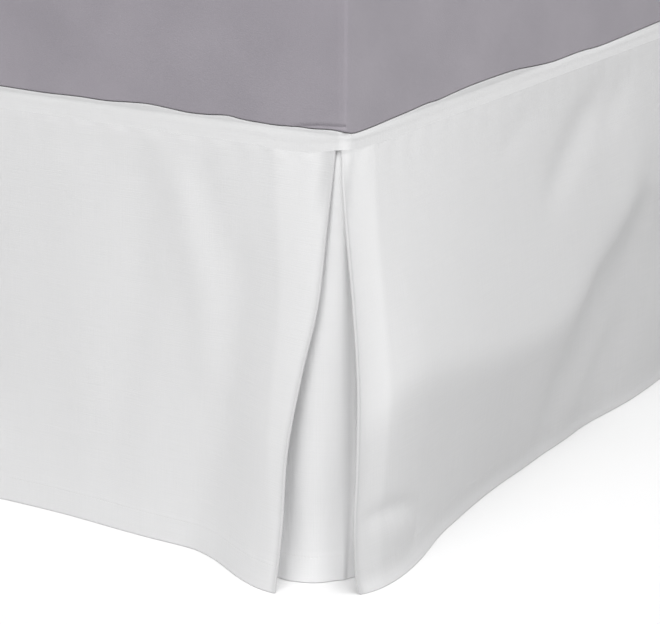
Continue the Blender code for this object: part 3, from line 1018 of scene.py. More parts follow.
@dataclass
class Drop:
    """One drop of the skirt: its front, its outer folds and its returns.

    The sizes are those of the cut and of the way it hangs. A drop has a flap at its first
    corner and, on the foot, another at its last. A flap takes the cloth within
    `swing_reach` of its edge along with it and curls within `curl_reach`. At the seam its
    flare reaches `flare_top` as far as at the hem. At the hem the return stands `draw_in`
    farther back and `draw_back` to the side, and the underlay `slack` behind that. The top
    `wrap_share` of a drop follows the bed's rounded corner, and ripples and folds grow to
    their full size over its top `ripple_share` and `pinned_share`. `probe` is half the
    distance over which a direction is measured.
    """

    bed: Bed
    face: Face
    length: float
    flaps: tuple[Flap, ...]
    waves: tuple[Wave, ...]
    bellies: tuple[BellyRow, ...]
    folds: tuple[Fold, ...]
    seam: EdgeLine
    tuck: EdgeLine
    ripples: Ripples
    shade: Shade = Shade()
    top_finish: SeamFinish = SeamFinish()
    hem_finish: HemFinish = HemFinish()
    bend_softness: float = 0.16
    swing_reach: float = 0.50
    curl_reach: float = 0.012
    flare_top: float = 0.62
    draw_in: float = 0.022
    draw_back: float = 0.018
    slack: float = 0.003
    wrap_share: float = 0.10
    pinned_share: float = 0.12
    ripple_share: float = 0.3
    cloth: float = 0.0012
    fold_steps: int = 8
    near_step: float = 0.0028
    far_step: float = 0.0075
    row_step: float = 0.0052
    probe: float = 0.0005

    # ---- shape

    def share_at(self, height: Array) -> Array:
        """How far down the drop a height lies, from 0 to 1."""
        return np.clip((self.bed.seam - height) / (self.bed.seam - self.bed.hem), 0, 1)

    def seam_at(self, along: Array) -> Array:
        """The seam's height along the face."""
        return self.seam.at(self.face, along)

    def bend_at(self, along: Array) -> Array:
        """The height at which the cloth turns under its belly."""
        return smooth(column(self.bellies, "along"), column(self.bellies, "height"), along)

    def belly(self, along: Array, height: Array) -> Array:
        """How far the cloth bellies out between the seam and the hem.

        Args:
            along: Places along the face.
            height: Their heights.

        Returns:
            How far each place stands out of the straight line.
        """
        bend = self.bend_at(along)
        depth = smooth(column(self.bellies, "along"), column(self.bellies, "depth"), along)
        above = np.clip((self.bed.seam - height) / (self.bed.seam - bend), 0, 2)
        below = np.clip((height - self.bed.hem) / (bend - self.bed.hem), 0, 2)
        lower = (above + below - np.hypot(above - below, self.bend_softness)) / 2
        return depth * np.maximum(lower, 0)

    def relief(self, along: Array, height: Array) -> Array:
        """The folds, ripples and puckers that stand off the plain hang.

        Args:
            along: Places along the face.
            height: Their heights.

        Returns:
            How far each place stands out.
        """
        share = self.share_at(height)
        total = self.ripples.at(along, height) * np.minimum(share / self.ripple_share, 1)
        for fold in self.folds:
            total += fold.relief(along, height)
        total *= np.minimum(share / self.pinned_share, 1)
        below = np.maximum(self.seam_at(along) - height, 0)
        total += self.top_finish.relief(along, below, self.tuck.at(self.face, along))
        return total + self.hem_finish.relief(along, height - self.bed.hem)

    def front(self, along: Array, height: Array) -> tuple[Array, Array]:
        """The front layer's middle surface.

        Args:
            along: Places along the cloth from the first corner.
            height: Their heights.

        Returns:
            The places as (along, out) on the face.
        """
        share = self.share_at(height)
        wave = share * smooth(column(self.waves, "along"), column(self.waves, "out"), along)
        out = wave + self.belly(along, height) + self.relief(along, height) - self.cloth / 2
        place = along.copy()
        for flap, way in zip(self.flaps, (1, -1)):
            from_corner = along if way > 0 else self.length - along
            distance = from_corner - flap.start
            shares = column(flap.edge, "share")
            edge_out = smooth(shares, column(flap.edge, "out"), share)
            edge_along = smooth(shares, column(flap.edge, "along"), share)
            edge_wave = share * self.waves[0 if way > 0 else -1].out
            curl = edge_out - edge_wave - share * flap.flare
            near = np.maximum(distance, 0)
            reach = flap.flare_reach * (self.flare_top + (1 - self.flare_top) * share)
            out += share * flap.flare * fade(near, reach)
            out += curl * np.exp(-near / self.curl_reach)
            swing = np.clip(1 - near / self.swing_reach, 0, 1) ** 2
            place += way * (edge_along - flap.start) * swing
            wrap = np.clip(1 - share / self.wrap_share, 0, 1) ** 2
            radius = self.bed.corner_radius - self.cloth / 2
            bent_along, bent_out = self.bed.around_corner(from_corner, radius)
            place += way * wrap * (bent_along - from_corner)
            out += wrap * bent_out
        return place, out

    def directions(self, along: Array, height: Array) -> tuple[Array, Array, Array, Array]:
        """The front layer with its direction along the face.

        Args:
            along: Places along the cloth.
            height: Their heights.

        Returns:
            The places as (along, out), and the parts of a unit step along the cloth.
        """
        place, out = self.front(along, height)
        place_on, out_on = self.front(along + self.probe, height)
        place_back, out_back = self.front(along - self.probe, height)
        run, rise = place_on - place_back, out_on - out_back
        length = np.hypot(run, rise)
        return place, out, run / length, rise / length

    def turned_back(self, flap: Flap, way: int, depth: Array,
                    height: Array) -> tuple[Array, Array]:
        """The return behind a flap.

        Args:
            flap: The flap.
            way: 1 for the first corner's flap, -1 for the last's.
            Logs a finished piece and its number of faces.
            height: Heights.

        Returns:
            The places as (along, out).
        """
        start = flap.start + depth
        along = start if way > 0 else self.length - start
        place, out, run, rise = self.directions(along, height)
        part = depth / flap.return_width
        share = self.share_at(height)
        behind = LAYER_PITCH + self.draw_in * part ** 2 * share
        back = way * self.draw_back * part ** 3 * share
        return place + rise * behind - run * back, out - run * behind - rise * back

    def outer_fold(self, way: int, along: float, height: Array,
                   turn: Array) -> tuple[Array, Array]:
        """The rounded outer fold between the front and the return.

        Args:
            way: 1 for the first corner's flap, -1 for the last's.
            along: The folded edge, as a place along the cloth.
            height: Heights.
            turn: How far round the fold each place lies, from 0 at the front.

        Returns:
            The places as (along, out).
        """
        places = np.full(height.shape, along)
        place, out, run, rise = self.directions(places, height)
        radius = LAYER_PITCH / 2
        ahead, inward = way * radius * np.sin(turn), radius * (1 - np.cos(turn))
        return place - run * ahead + rise * inward, out - rise * ahead - run * inward

    # ---- the grid of the sheet

    def spread(self, near: float, far: float) -> Array:
        """Stations from a flap outward, close together at first."""
        return near + graded(far - near, self.near_step, self.far_step)

    def drop_shares(self) -> Array:
        """Shares of the rows from the seam to the hem, closer at both and at the stitches.

        Returns:
            The shares, row by row.
        """
        tall = self.bed.seam - self.bed.hem
        middle = np.arange(EVEN_ROWS[0], tall - EVEN_ROWS[1], self.row_step)
        return np.concatenate([SEAM_ROWS, middle, tall - np.array(HEM_ROWS[::-1])]) / tall

    def grid(self) -> SheetGrid:
        """The whole drop as a grid: return, outer fold, front and, on the foot, again.

        Returns:
            The grid.
        """
        first, *others = self.flaps
        far = self.length / 2 if others else self.bed.head_end
        fronts = self.spread(first.start, far)
        if others:
            back = self.length - self.spread(others[0].start, far)[-2::-1]
            fronts = np.concatenate([fronts, back])[:-1]
        parts = [self.flap_columns(first, 1), self.front_columns(fronts[1:])]
        for flap in others:
            parts.append([np.flip(values, axis=1) for values in self.flap_columns(flap, -1)])
        stacked = [np.concatenate(values, axis=1) for values in zip(*parts)]
        along, out, height, across, layers_and_painted_light = stacked
        x, y = self.bed.to_plan(self.face, along, out)
        return SheetGrid(x, y, height, across, height, layers_and_painted_light, height - self.bed.hem)

    def heights(self, along: Array) -> Array:
        """A grid of heights from the seam over each station to the hem.

        Args:
            along: Stations along the face.

        Returns:
            The heights, a column for each station.
        """
        shares = self.drop_shares()[:, None]
        top = self.seam_at(along)[None, :] - SEAM_GAP
        return top + (self.bed.hem - top) * shares

    def front_columns(self, along: Array) -> list[Array]:
        """The front layer's columns at stations along the cloth.

        Args:
            along: The stations.

        Returns:
            Columns of place along, place out, height, place on the cut, and lightness with
            painted shade.
        """
        height = self.heights(along)
        places = np.broadcast_to(along, height.shape).copy()
        place, out = self.front(places, height)
        return [place, out, height, places, self.layers_and_painted_light(places, height)]

    def layers_and_painted_light(self, along: Array, height: Array) -> Array:
        """How light the front is, by the layers behind it and the shade painted in.

        Args:
            along: Places along the cloth.
            height: Their heights.

        Returns:
            How light the cloth is, from 0 to 1, with its painted shade.
        """
        shade, share = self.shade, self.share_at(height)
        inside = np.full(along.shape, -np.inf)
        from_edge = np.full(along.shape, np.inf)
        for flap, way in zip(self.flaps, (1, -1)):
            from_corner = along if way > 0 else self.length - along
            width = smooth(column(flap.band, "along"), column(flap.band, "out"), share)
            inside = np.maximum(inside, width - (from_corner - flap.start))
            from_edge = np.minimum(from_edge, from_corner - flap.start)
        # Lighter where a return lies behind; its fading toward the hem is painted shade
        double = step_up(inside, *shade.double_edge) * (1 - shade.double_fall * share ** 2)
        # Painted shade under the bellies and toward the head, with less of it at the hem
        under = step_up(self.bend_at(along) - height, *shade.lower_edge)
        under = under * (1 - shade.hem_gain * step_down(height, *shade.hem_edge))
        light = shade.single + (shade.double - shade.single) * double
        light = light - shade.lower * under - shade.far * step_up(along, *shade.far_edge)
        # Painted shade at a flap's top, and down to the darkest at its folded edge
        corner = step_down(from_edge, *shade.corner_edge)
        corner = corner * step_down(share, *shade.corner_rows)
        return (light - shade.corner * corner) * step_up(from_edge, *shade.fold_edge)

    def flap_columns(self, flap: Flap, way: int) -> list[Array]:
        """A return and its outer fold, from the inner fold to the front's edge.

        Args:
            flap: The flap.
            way: 1 for the first corner's flap, -1 for the last's.

        Returns:
            Columns of place along, place out, height, place on the cut, and lightness, painted
            in part.
        """
        inner = flap.start + flap.return_width
        depth = self.spread(flap.start, inner)[:0:-1] - flap.start
        edge = flap.start if way > 0 else self.length - flap.start
        along = flap.start + depth if way > 0 else self.length - flap.start - depth
        height = self.heights(along)
        depths = np.broadcast_to(depth, height.shape)
        place, out = self.turned_back(flap, way, depths, height)
        turn = np.linspace(np.pi, 0, self.fold_steps + 1)
        fold_height = self.heights(np.full(turn.shape, edge))
        turns = np.broadcast_to(turn, fold_height.shape)
        fold_place, fold_out = self.outer_fold(way, edge, fold_height, turns)
        across = edge - way * (depths + LAYER_PITCH)
        fold_across = edge - way * turns * LAYER_PITCH / 2
        # Painted light on the return, and the darkest painted shade on the outer fold
        layers_and_painted_light = np.full(height.shape, self.shade.turned_back)
        pairs = ((place, fold_place), (out, fold_out), (height, fold_height),
                 (across, fold_across), (layers_and_painted_light, np.zeros(fold_height.shape)))
        return [np.concatenate(pair, axis=1) for pair in pairs]

    def return_end(self, flap: Flap, way: int, height: Array) -> tuple[Array, Array]:
        """Where a return's inner fold carries the underlay's edge.

        Args:
            flap: The flap.
            way: 1 for the first corner's flap, -1 for the last's.
            height: Heights.

        Returns:
            The places as (along, out).
        """
        depth = np.full(height.shape, flap.return_width)
        along = flap.start + depth if way > 0 else self.length - flap.start - depth
        _, _, run, rise = self.directions(along, height)
        place, out = self.turned_back(flap, way, depth, height)
        behind = LAYER_PITCH + self.slack * self.share_at(height)
        return place + rise * behind, out - run * behind

    def build(self, maker: ClothMaker, rests_on: str) -> bpy.types.Object:
        """Makes the drop.

        Args:
            maker: The cloth that it is cut from.
            rests_on: The piece that it hangs from; not used.

        Returns:
            The finished drop.
        """
        name = f"drop_{self.face.value}"
        piece = maker.finish(f"{name}_cloth", self.grid().mesh(name))
        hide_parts(name)
        return piece


# ------------------------------------------------------------------------ the underlays

@dataclass
class UnderlayHalf:
    """An underlay from the middle of its corner to the inner fold on one face.

    `way` is 1 behind the drop's first flap and -1 behind its last. Halfway down, the
    underlay billows out from the corner at `billow_turn` degrees from the foot's front,
    and each half swells at `swell_at` of its width.
    """

    drop: Drop
    way: int
    hem: tuple[HemRow, ...]
    billow: float = 0.008
    billow_turn: float = 31.5
    billow_rise: float = 0.75
    billow_fade: float = 1.5
    swell: float = 0.008
    swell_at: float = 0.55
    swell_start: tuple[float, float] = (0.10, 0.50)
    swell_end: tuple[float, float] = (0.75, 1.0)
    corner_points: int = 5

    @property
    def flap(self) -> Flap:
        """The flap in front of this half."""
        return self.drop.flaps[0 if self.way > 0 else 1]

    def grid(self, shares: Array, seam: float) -> list[Array]:
        """The half's columns, from the corner's middle outward.

        Args:
            shares: Shares of the way from the seam to the hem, row by row.
            seam: The seam's height at the corner.

        Returns:
            x, y, height and distance from the corner's middle.
        """
        bed = self.drop.bed
        inset = LAYER_PITCH * 2 + self.drop.cloth / 2
        radius = bed.corner_radius - inset
        middle = bed.corner_radius * (1 - math.pi / 4)
        inner = self.flap.start + self.flap.return_width
        bend = np.linspace(middle, bed.corner_radius, self.corner_points)
        places = np.concatenate([bend[:-1], self.drop.spread(bed.corner_radius, inner)])
        part = (places - middle) / (inner - middle)
        along, out = bed.around_corner(places, radius)
        hem_along = smooth(column(self.hem, "share"), column(self.hem, "along"), part)
        hem_out = smooth(column(self.hem, "share"), column(self.hem, "out"), part)
        height = seam + (bed.underlay_hem - seam) * shares[:, None] + 0 * places
        share = self.drop.share_at(height)
        row_along = along + (hem_along - along) * share
        row_out = (out - inset) + (hem_out - out + inset) * share
        push = self.billow * np.sin(np.pi * share ** self.billow_rise)
        push = push * (1 - part) ** self.billow_fade
        full = step_up(share, *self.swell_start) * step_down(share, *self.swell_end)
        row_out = row_out + self.swell * full * bell(part - self.swell_at, self.swell_at)
        on_foot = self.drop.face is Face.FOOT
        turn = math.radians(self.billow_turn if on_foot else 90 - self.billow_turn)
        row_out = row_out + push * math.cos(turn)
        row_along = row_along - push * math.sin(turn)
        end_along, end_out = self.drop.return_end(self.flap, self.way, height[:, -1:])
        if self.way < 0:
            end_along = self.drop.length - end_along
        row_along = row_along + (end_along - row_along[:, -1:]) * part ** 2
        row_out = row_out + (end_out - row_out[:, -1:]) * part ** 2
        if self.way < 0:
            row_along = self.drop.length - row_along
        x, y = bed.to_plan(self.drop.face, row_along, row_out)
        return [x, y, height, np.broadcast_to(places - middle, height.shape)]


@dataclass(frozen=True)
class PleatShade:
    """How light an underlay is, from 0 to 1, painted in beyond what the lights give.

    Its hem is lighter by `hem`, its low part by `low` and its top by `top`. On the foot
    half it is darker by `shadow` past `line`, and on the side half by `crease` next to the
    corner. Past both it is lighter by `cover`, where the flaps hide it. Each pair is where
    a change starts and where it ends, the rows as shares from the seam to the hem.
    """

    line: tuple[LineRow, ...]
    cloth: float = 0.48
    hem: float = 0.06
    hem_rows: tuple[float, float] = (0.925, 0.93)
    low: float = 0.24
    low_rows: tuple[float, float] = (0.74, 0.94)
    top: float = 0.40
    top_rows: tuple[float, float] = (0.1, 0.5)
    shadow: float = 0.24
    shadow_edge: tuple[float, float] = (-0.003, 0.002)
    crease: float = 0.40
    crease_edge: tuple[float, float] = (-0.0015, 0.001)
    crease_rows: tuple[float, float] = (0.04, 0.3)
    cover: float = 0.80
    foot_cover: tuple[float, float] = (0.001, 0.010)
    side_cover: tuple[float, float] = (0.001, 0.009)

    def at(self, across: Array, share: Array) -> Array:
        """The underlay's lightness, painted shade and painted light.

        Args:
            across: Distances from the corner's middle, negative on the foot half.
            share: Shares of the way from the seam to the hem.

        Returns:
            How light each place is.
        """
        past = -across - smooth(column(self.line, "along"), column(self.line, "value"), share)
        light = self.cloth + self.hem * step_up(share, *self.hem_rows)
        light = light + self.low * step_up(share, *self.low_rows)
        light = light + self.top * step_down(share, *self.top_rows)
        light = light - self.shadow * step_up(past, *self.shadow_edge)
        light = light + self.cover * step_up(past, *self.foot_cover)
        crease = step_up(across, *self.crease_edge) * step_up(share, *self.crease_rows)
        light = light - self.crease * crease
        return np.clip(light + self.cover * step_up(across, *self.side_cover), 0.0, 1.0)


@dataclass
class Underlay:
    """The pleat's back layer round one foot corner."""

    name: str
    foot: UnderlayHalf
    side: UnderlayHalf
    shade: PleatShade

    def grid(self) -> SheetGrid:
        """The underlay as one grid from the foot's inner fold to the side's.

        Returns:
            The grid.
        """
        shares = self.side.drop.drop_shares()
        seam = float(self.side.drop.seam_at(np.array([0.0]))[0])
        foot = self.foot.grid(shares, seam)
        side = self.side.grid(shares, seam)
        x, y, height = (np.concatenate([np.flip(a, axis=1)[:, :-1], b], axis=1)
                        for a, b in zip(foot[:3], side[:3]))
        across = np.concatenate([np.flip(-foot[3], axis=1)[:, :-1], side[3]], axis=1)
        light = self.shade.at(across, np.broadcast_to(shares[:, None], x.shape))
        from_hem = height - self.side.drop.bed.underlay_hem
        return SheetGrid(x, y, height, across, height, light, from_hem)

    def build(self, maker: ClothMaker, rests_on: str) -> bpy.types.Object:
        """Makes the underlay.

        Args:
            maker: The cloth that it is cut from.
            rests_on: The piece that it hangs from; not used.

        Returns:
            The finished underlay.
        """
        grid = self.grid()
        piece = maker.finish(f"{self.name}_cloth", grid.mesh(self.name))
        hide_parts(self.name)
        return piece


# ----------------------------------------------------------------------------- the deck

# Insets of the lip's rows on the deck, the turns of its rolled edge in degrees, and the
# rows of the step over the seam, as heights above it and shares of its tuck
LIP_INSETS = (0.022, 0.018, 0.015, 0.012, 0.009, 0.0065, 0.0045, 0.0028)
LIP_TURNS = (90, 72, 54, 36, 18, 0)
LIP_PARTS = (0.2, 0.4, 0.6, 0.8, 1.0)
SEAM_STEP_ROWS = ((0.0056, 0.1), (0.0042, 0.35), (0.0028, 0.65), (0.0014, 0.9),
                  (SEAM_GAP, 1.0))
RISE_INSETS = (0.004, LIP_INSETS[0])


def edge_share(inset: float) -> float:
    """How much of the lip's rise reaches a distance in from the bed's edge."""
    return 1 - float(step_up(np.array(inset), *RISE_INSETS))


@dataclass
class Deck:
    """The platform cloth, with its lip rolled down three sides to the seam.

    The lip is `light` from 0 to 1, for its layers and in part painted light, less
    `edge_painted_shade` of painted shade at its rolled edge. It hollows by `hollow` and ends
    `step_height` above the seam, where the step over the seam starts.
    """

    bed: Bed
    seam: EdgeLine
    top: EdgeLine
    tuck: EdgeLine
    roll: float = 0.0014
    hollow: float = 0.0004
    step_height: float = 0.0070
    allowance: float = 0.01
    cloth: float = 0.0012
    light: float = 0.54
    edge_painted_shade: float = 0.3
    edge_reach: float = 0.0015
    no_hem: float = 0.1
    step: float = 0.0055
    corner_steps: int = 10

    def path(self) -> tuple[Array, Array, Array, Array]:
        """The lip's plan stations from the right head end round to the left one.

        Returns:
            Outline x and y, and outward x and y.
        """
        bed, radius = self.bed, self.bed.corner_radius
        side = np.linspace(bed.head_end, radius, int((bed.head_end - radius) / self.step))
        reach = 2 * (bed.half_width - radius)
        foot = np.linspace(radius, radius + reach, int(reach / self.step))
        turn = np.linspace(0, np.pi / 2, self.corner_steps + 2)[1:-1]
        foot_y = bed.centre_y - bed.half_length
        parts = []
        for face, along, away in ((Face.RIGHT, side, (1.0, 0.0)),
                                  (Face.FOOT, foot, (0.0, -1.0)),
                                  (Face.LEFT, side[::-1], (-1.0, 0.0))):
            x, y = bed.to_plan(face, along, np.zeros(along.shape))
            parts.append([x, y, np.full(x.shape, away[0]), np.full(x.shape, away[1])])
            if face is Face.LEFT:
                break
            first, last = (turn, 1) if face is Face.RIGHT else (np.pi / 2 - turn, -1)
            away_x, away_y = last * np.cos(first), -np.sin(first)
            centre_x = last * (bed.half_width - radius)
            parts.append([centre_x + away_x * radius, foot_y + radius + away_y * radius,
                          away_x, away_y])
        return tuple(np.concatenate([part[i] for part in parts]) for i in range(4))

    def profile(self, rise: Array, seam: Array, tuck: Array) -> tuple[Array, Array, Array]:
        """The lip's section at each station.

        Args:
            rise: How far the lip's edge stands over the deck at the stations.
            seam: The seam's height at the stations.
            tuck: How far the seam is drawn in there.

        Returns:
            Insets and heights, row by row, and each row's distance over the edge.
        """
        middle = self.bed.deck_top - self.cloth / 2
        radius = self.roll - self.cloth / 2
        insets, heights = [], []
        for inset in LIP_INSETS:
            insets.append(inset + 0 * rise)
            heights.append(middle + rise * edge_share(inset))
        for degrees in LIP_TURNS:
            turn = math.radians(degrees)
            insets.append(self.cloth / 2 + radius * (1 - math.cos(turn)) + 0 * rise)
            heights.append(middle - radius * (1 - math.sin(turn)) + rise)
        top, inset_top = heights[-1], insets[-1]
        for part in LIP_PARTS:
            insets.append(inset_top - self.hollow * math.sin(math.pi * part))
            heights.append(top + (seam + self.step_height - top) * part)
        for above, share in SEAM_STEP_ROWS:
            insets.append(self.cloth / 2 + tuck * share)
            heights.append(seam + above)
        inset, height = np.array(insets), np.array(heights)
        return inset, height, middle - height

    def build(self, maker: ClothMaker) -> bpy.types.Object:
        """Makes the deck.

        Args:
            maker: The cloth that it is cut from.

        Returns:
            The finished deck.
        """
        x, y, away_x, away_y = self.path()
        stations = (x, y, away_x, away_y)
        rise = self.top.around(*stations) - self.bed.deck_top
        inset, height, down = self.profile(rise, self.seam.around(*stations),
                                           self.tuck.around(*stations))
        run = np.concatenate([[0], np.cumsum(np.hypot(np.diff(x), np.diff(y)))])
        across = np.broadcast_to(run, height.shape)
        head_y = self.bed.centre_y - self.bed.half_length + self.bed.head_end
        in_x, in_y = self.bed.draw_in(stations, inset, head_y)
        # Painted shade: the lip darkens toward its rolled top edge
        light = self.light - self.edge_painted_shade * np.exp(-down / self.edge_reach)
        grid = SheetGrid(in_x, in_y, height, across, down, light,
                         np.full(height.shape, self.no_hem))
        mesh = grid.mesh("deck")
        self.close_middle(mesh, len(run))
        piece = maker.finish("deck_cloth", mesh)
        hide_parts("deck")
        return piece

    @staticmethod
    def close_middle(mesh: bpy.types.Mesh, count: int) -> None:
        """Fills the flat middle inside the lip's first row.

        Args:
            mesh: The lip's mesh.
            count: The number of points in a row.
        """
        edit = bmesh.new()
        edit.from_mesh(mesh)
        edit.verts.ensure_lookup_table()
        edit.faces.new([edit.verts[i] for i in range(count)])
        bmesh.ops.recalc_face_normals(edit, faces=edit.faces)
        edit.to_mesh(mesh)
        edit.free()


# ------------------------------------------------------------------------- the mattress

# Insets of the mattress's underside rows, and its top rows as insets and shares of the crown
UNDERSIDE_INSETS = (0.30, 0.12, 0.05, 0.022, 0.018, 0.015, 0.012, 0.009, 0.0065, 0.0045,
                    0.0030)
CROWN_ROWS = ((0.05, 0.25), (0.10, 0.55), (0.20, 0.85), (0.40, 1.0))


@dataclass
class Mattress:
    """A plain mattress in a grey cover, seamed up its corners.

    Its sides bulge by `side_bulge`, more by a share of `belly` halfway up, and its bottom
    edge follows the lip's rise, which fades up the side over `lift_reach`. `low_rows` are
    the step between the wall's lowest rows and how far up they go, and `crease` is on the
    foot's face, where y points out of the bed by less than `foot_facing`.
    """

    bed: Bed
    top: EdgeLine
    corner: float = 0.0065
    bottom_round: float = 0.0008
    top_round: float = 0.024
    side_bulge: float = 0.0017
    belly: float = 0.4
    crown: float = 0.004
    lift_reach: float = 0.030
    welt_height: float = 0.0012
    welt_width: float = 0.0022
    near_step: float = 0.0025
    far_step: float = 0.012
    step_growth: float = 0.06
    corner_points: int = 25
    bottom_points: int = 5
    top_points: int = 10
    low_rows: tuple[float, float] = (0.0008, 0.0100)
    wall_start: float = 0.08
    wall_rows: int = 16
    foot_facing: float = -0.7
    crease: Fold = Fold(((0.047, 0.3852), (0.026, 0.3880), (0.004, 0.3893)), 0.0012, -0.0013)

    def outline(self, width: float, length: float) -> tuple[Array, Array, Array, Array, Array]:
        """A rounded rectangle round the mattress, anticlockwise.

        Args:
            width: The rectangle's size in x.
            length: Its size in y.

        Returns:
            x, y, outward x and y, and the arc distance from the nearest corner's middle.
        """
        parts = []
        half_x, half_y = width / 2 - self.corner, length / 2 - self.corner
        signs = ((1, 1), (-1, 1), (-1, -1), (1, -1))
        for quarter, (side, end) in enumerate(signs):
            turn = np.linspace(0, np.pi / 2, self.corner_points) + np.pi / 2 * quarter
            away = np.stack([np.cos(turn), np.sin(turn)])
            centre = np.array([[side * half_x], [end * half_y]])
            arc = self.corner * np.abs(turn - np.pi / 2 * (quarter + 0.5))
            parts.append(np.concatenate([centre + away * self.corner, away, arc[None]]))
            next_side, next_end = signs[(quarter + 1) % 4]
            stop = np.array([[next_side * half_x], [next_end * half_y]])
            gap = float(np.linalg.norm(stop - centre))
            half = graded(gap / 2, self.near_step, self.far_step, self.step_growth)
            share = np.concatenate([half, gap - half[-2::-1]])[1:-1] / gap
            line = centre + away[:, -1:] * self.corner + (stop - centre) * share
            flat = np.broadcast_to(away[:, -1:], line.shape)
            far = np.minimum(share, 1 - share)[None] * gap + arc[-1]
            parts.append(np.concatenate([line, flat, far]))
        return tuple(np.concatenate(parts, axis=1))

    def build(self, material: bpy.types.Material) -> bpy.types.Object:
        """Makes the mattress.

        Args:
            material: The cover's finish.

        Returns:
            The finished mattress.
        """
        low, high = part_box("mattress")
        width, length = high[0] - low[0], high[1] - low[1]
        x, y, away_x, away_y, arc = self.outline(width, length)
        y = y + self.bed.centre_y
        low_z = float(low[2])
        lift = self.top.around(x, y, away_x, away_y) + MATTRESS_GAP - low_z
        # The crease is on the foot's face, so places elsewhere count as a metre away from it
        foot_along = np.where(away_y < self.foot_facing, self.bed.half_width - x, 1.0)
        welt = self.welt_height * bell(arc, self.welt_width)
        rows = []
        for inset, height, wall in self.levels(low_z, float(high[2])):
            fall = math.exp(-max(height - low_z, 0) / self.lift_reach)
            places = height + lift * edge_share(inset) * fall
            away, _ = route_distance(self.crease.route, foot_along, places)
            push = (self.side_bulge + welt) * wall
            push = push + self.crease.depth * bell(away, self.crease.half_width)
            in_x, in_y = self.bed.draw_in((x, y, away_x, away_y), inset, self.bed.centre_y)
            rows.append((in_x + away_x * push, in_y + away_y * push, places))
        mesh = self.loft(rows)
        piece = link_mesh("mattress_body", mesh, material)
        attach(piece, BODY)
        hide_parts("mattress")
        return piece

    def levels(self, bottom: float, top: float) -> list[tuple[float, float, float]]:
        """The side's rows from the underside to the top.

        Args:
            bottom: The underside's height.
            top: The top face's height.

        Returns:
            Rows of (inset, height, how far the wall's bulge and seams show).
        """
        rows = [(inset, bottom, 0.0) for inset in UNDERSIDE_INSETS]
        for turn in np.linspace(0, np.pi / 2, self.bottom_points):
            rows.append((self.bottom_round * (1 - math.sin(turn)),
                         bottom + self.bottom_round * (1 - math.cos(turn)),
                         math.sin(turn)))
        start, end = bottom + self.bottom_round, top - self.top_round
        low_step, low_reach = self.low_rows
        for above in np.arange(low_step, low_reach, low_step):
            rows.append((0.0, start + above, 1.0))
        for part in np.linspace(self.wall_start, 1, self.wall_rows)[:-1]:
            wall = 1 + self.belly * math.sin(math.pi * part)
            rows.append((0.0, start + (end - start) * part, wall))
        for turn in np.linspace(0, np.pi / 2, self.top_points):
            rows.append((self.top_round * (1 - math.cos(turn)),
                         end + self.top_round * math.sin(turn), math.cos(turn)))
        for inset, share in CROWN_ROWS:
            rows.append((inset, top + share * self.crown, 0.0))
        return rows

    @staticmethod
    def loft(rows: list[tuple[Array, Array, Array]]) -> bpy.types.Mesh:
        """Joins rings of points and closes both ends.

        Args:
            rows: Rings as x, y and height, from the underside to the top.

        Returns:
            The closed mesh.
        """
        count = len(rows[0][0])
        points = np.concatenate([np.stack(row, axis=-1) for row in rows])
        faces = []
        for ring in range(len(rows) - 1):
            start = ring * count
            for i in range(count):
                j = (i + 1) % count
                faces.append((start + i, start + j, start + count + j, start + count + i))
        faces.append(tuple(range(count))[::-1])
        faces.append(tuple(range((len(rows) - 1) * count, len(rows) * count)))
        mesh = bpy.data.meshes.new("mattress_body")
        mesh.from_pydata(points.tolist(), [], faces)
        return mesh


# ------------------------------------------------------------------------- base and legs

@dataclass
class BaseAndLegs:
    """The covered base and its six turned legs."""

    count: int = 6
    foot_radius: float = 0.020
    top_radius: float = 0.025
    sides: int = 40
    groove_height: float = 0.02
    groove: float = 0.0012
    groove_segments: int = 2
    edge: float = 0.0015
    edge_segments: int = 3
    edge_angle: float = 50.0
    crisp_angle: float = 40.0

    def build(self, cover: bpy.types.Material,
              wood: bpy.types.Material) -> list[bpy.types.Object]:
        """Dresses the base and turns the legs.

        Args:
            cover: The base's cloth.
            wood: The legs' finish.

        Returns:
            The legs.
        """
        base = bpy.data.objects["base"]
        for slot in base.material_slots:
            slot.material = cover
        return [self.turn_leg(number, wood) for number in range(1, self.count + 1)]

    def turn_leg(self, number: int, wood: bpy.types.Material) -> bpy.types.Object:
        """Turns one leg from a cone, with eased edges and a groove over its foot.

        Args:
            number: The leg's number in the frame.
            wood: Its finish.

        Returns:
            The finished leg.
        """
        low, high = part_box(f"leg_{number}")
        tall = high[2] - low[2]
        middle = [(start + end) / 2 for start, end in zip(low, high)]
        deselect_all()
        bpy.ops.mesh.primitive_cone_add(vertices=self.sides, radius1=self.foot_radius,
                                        radius2=self.top_radius, depth=tall, location=middle)
        leg = bpy.context.object
        leg.name = leg.data.name = f"leg_{number}_turned"
        bpy.ops.object.mode_set(mode="EDIT")
        bpy.ops.mesh.select_all(action="SELECT")
        groove = leg.location + Vector((0, 0, self.groove_height - tall / 2))
        bpy.ops.mesh.bisect(plane_co=groove, plane_no=(0, 0, 1))
        bpy.ops.mesh.bevel(offset=self.groove, segments=self.groove_segments,
                           affect="EDGES")
        bpy.ops.object.mode_set(mode="OBJECT")
        bevel = leg.modifiers.new("Eased", "BEVEL")
        bevel.width, bevel.segments = self.edge, self.edge_segments
        bevel.angle_limit = math.radians(self.edge_angle)
        apply_modifiers(leg)
        leg.data.transform(leg.matrix_world)
        leg.matrix_world.identity()
        leg.location = (0, 0, 0)
        leg.data.materials.append(wood)
        leg.data.shade_smooth()
        leg.data.set_sharp_from_angle(angle=math.radians(self.crisp_angle))
        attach(leg, BODY)
        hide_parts(f"leg_{number}")
        return leg


# --------------------------------------------------------------------- studio and camera

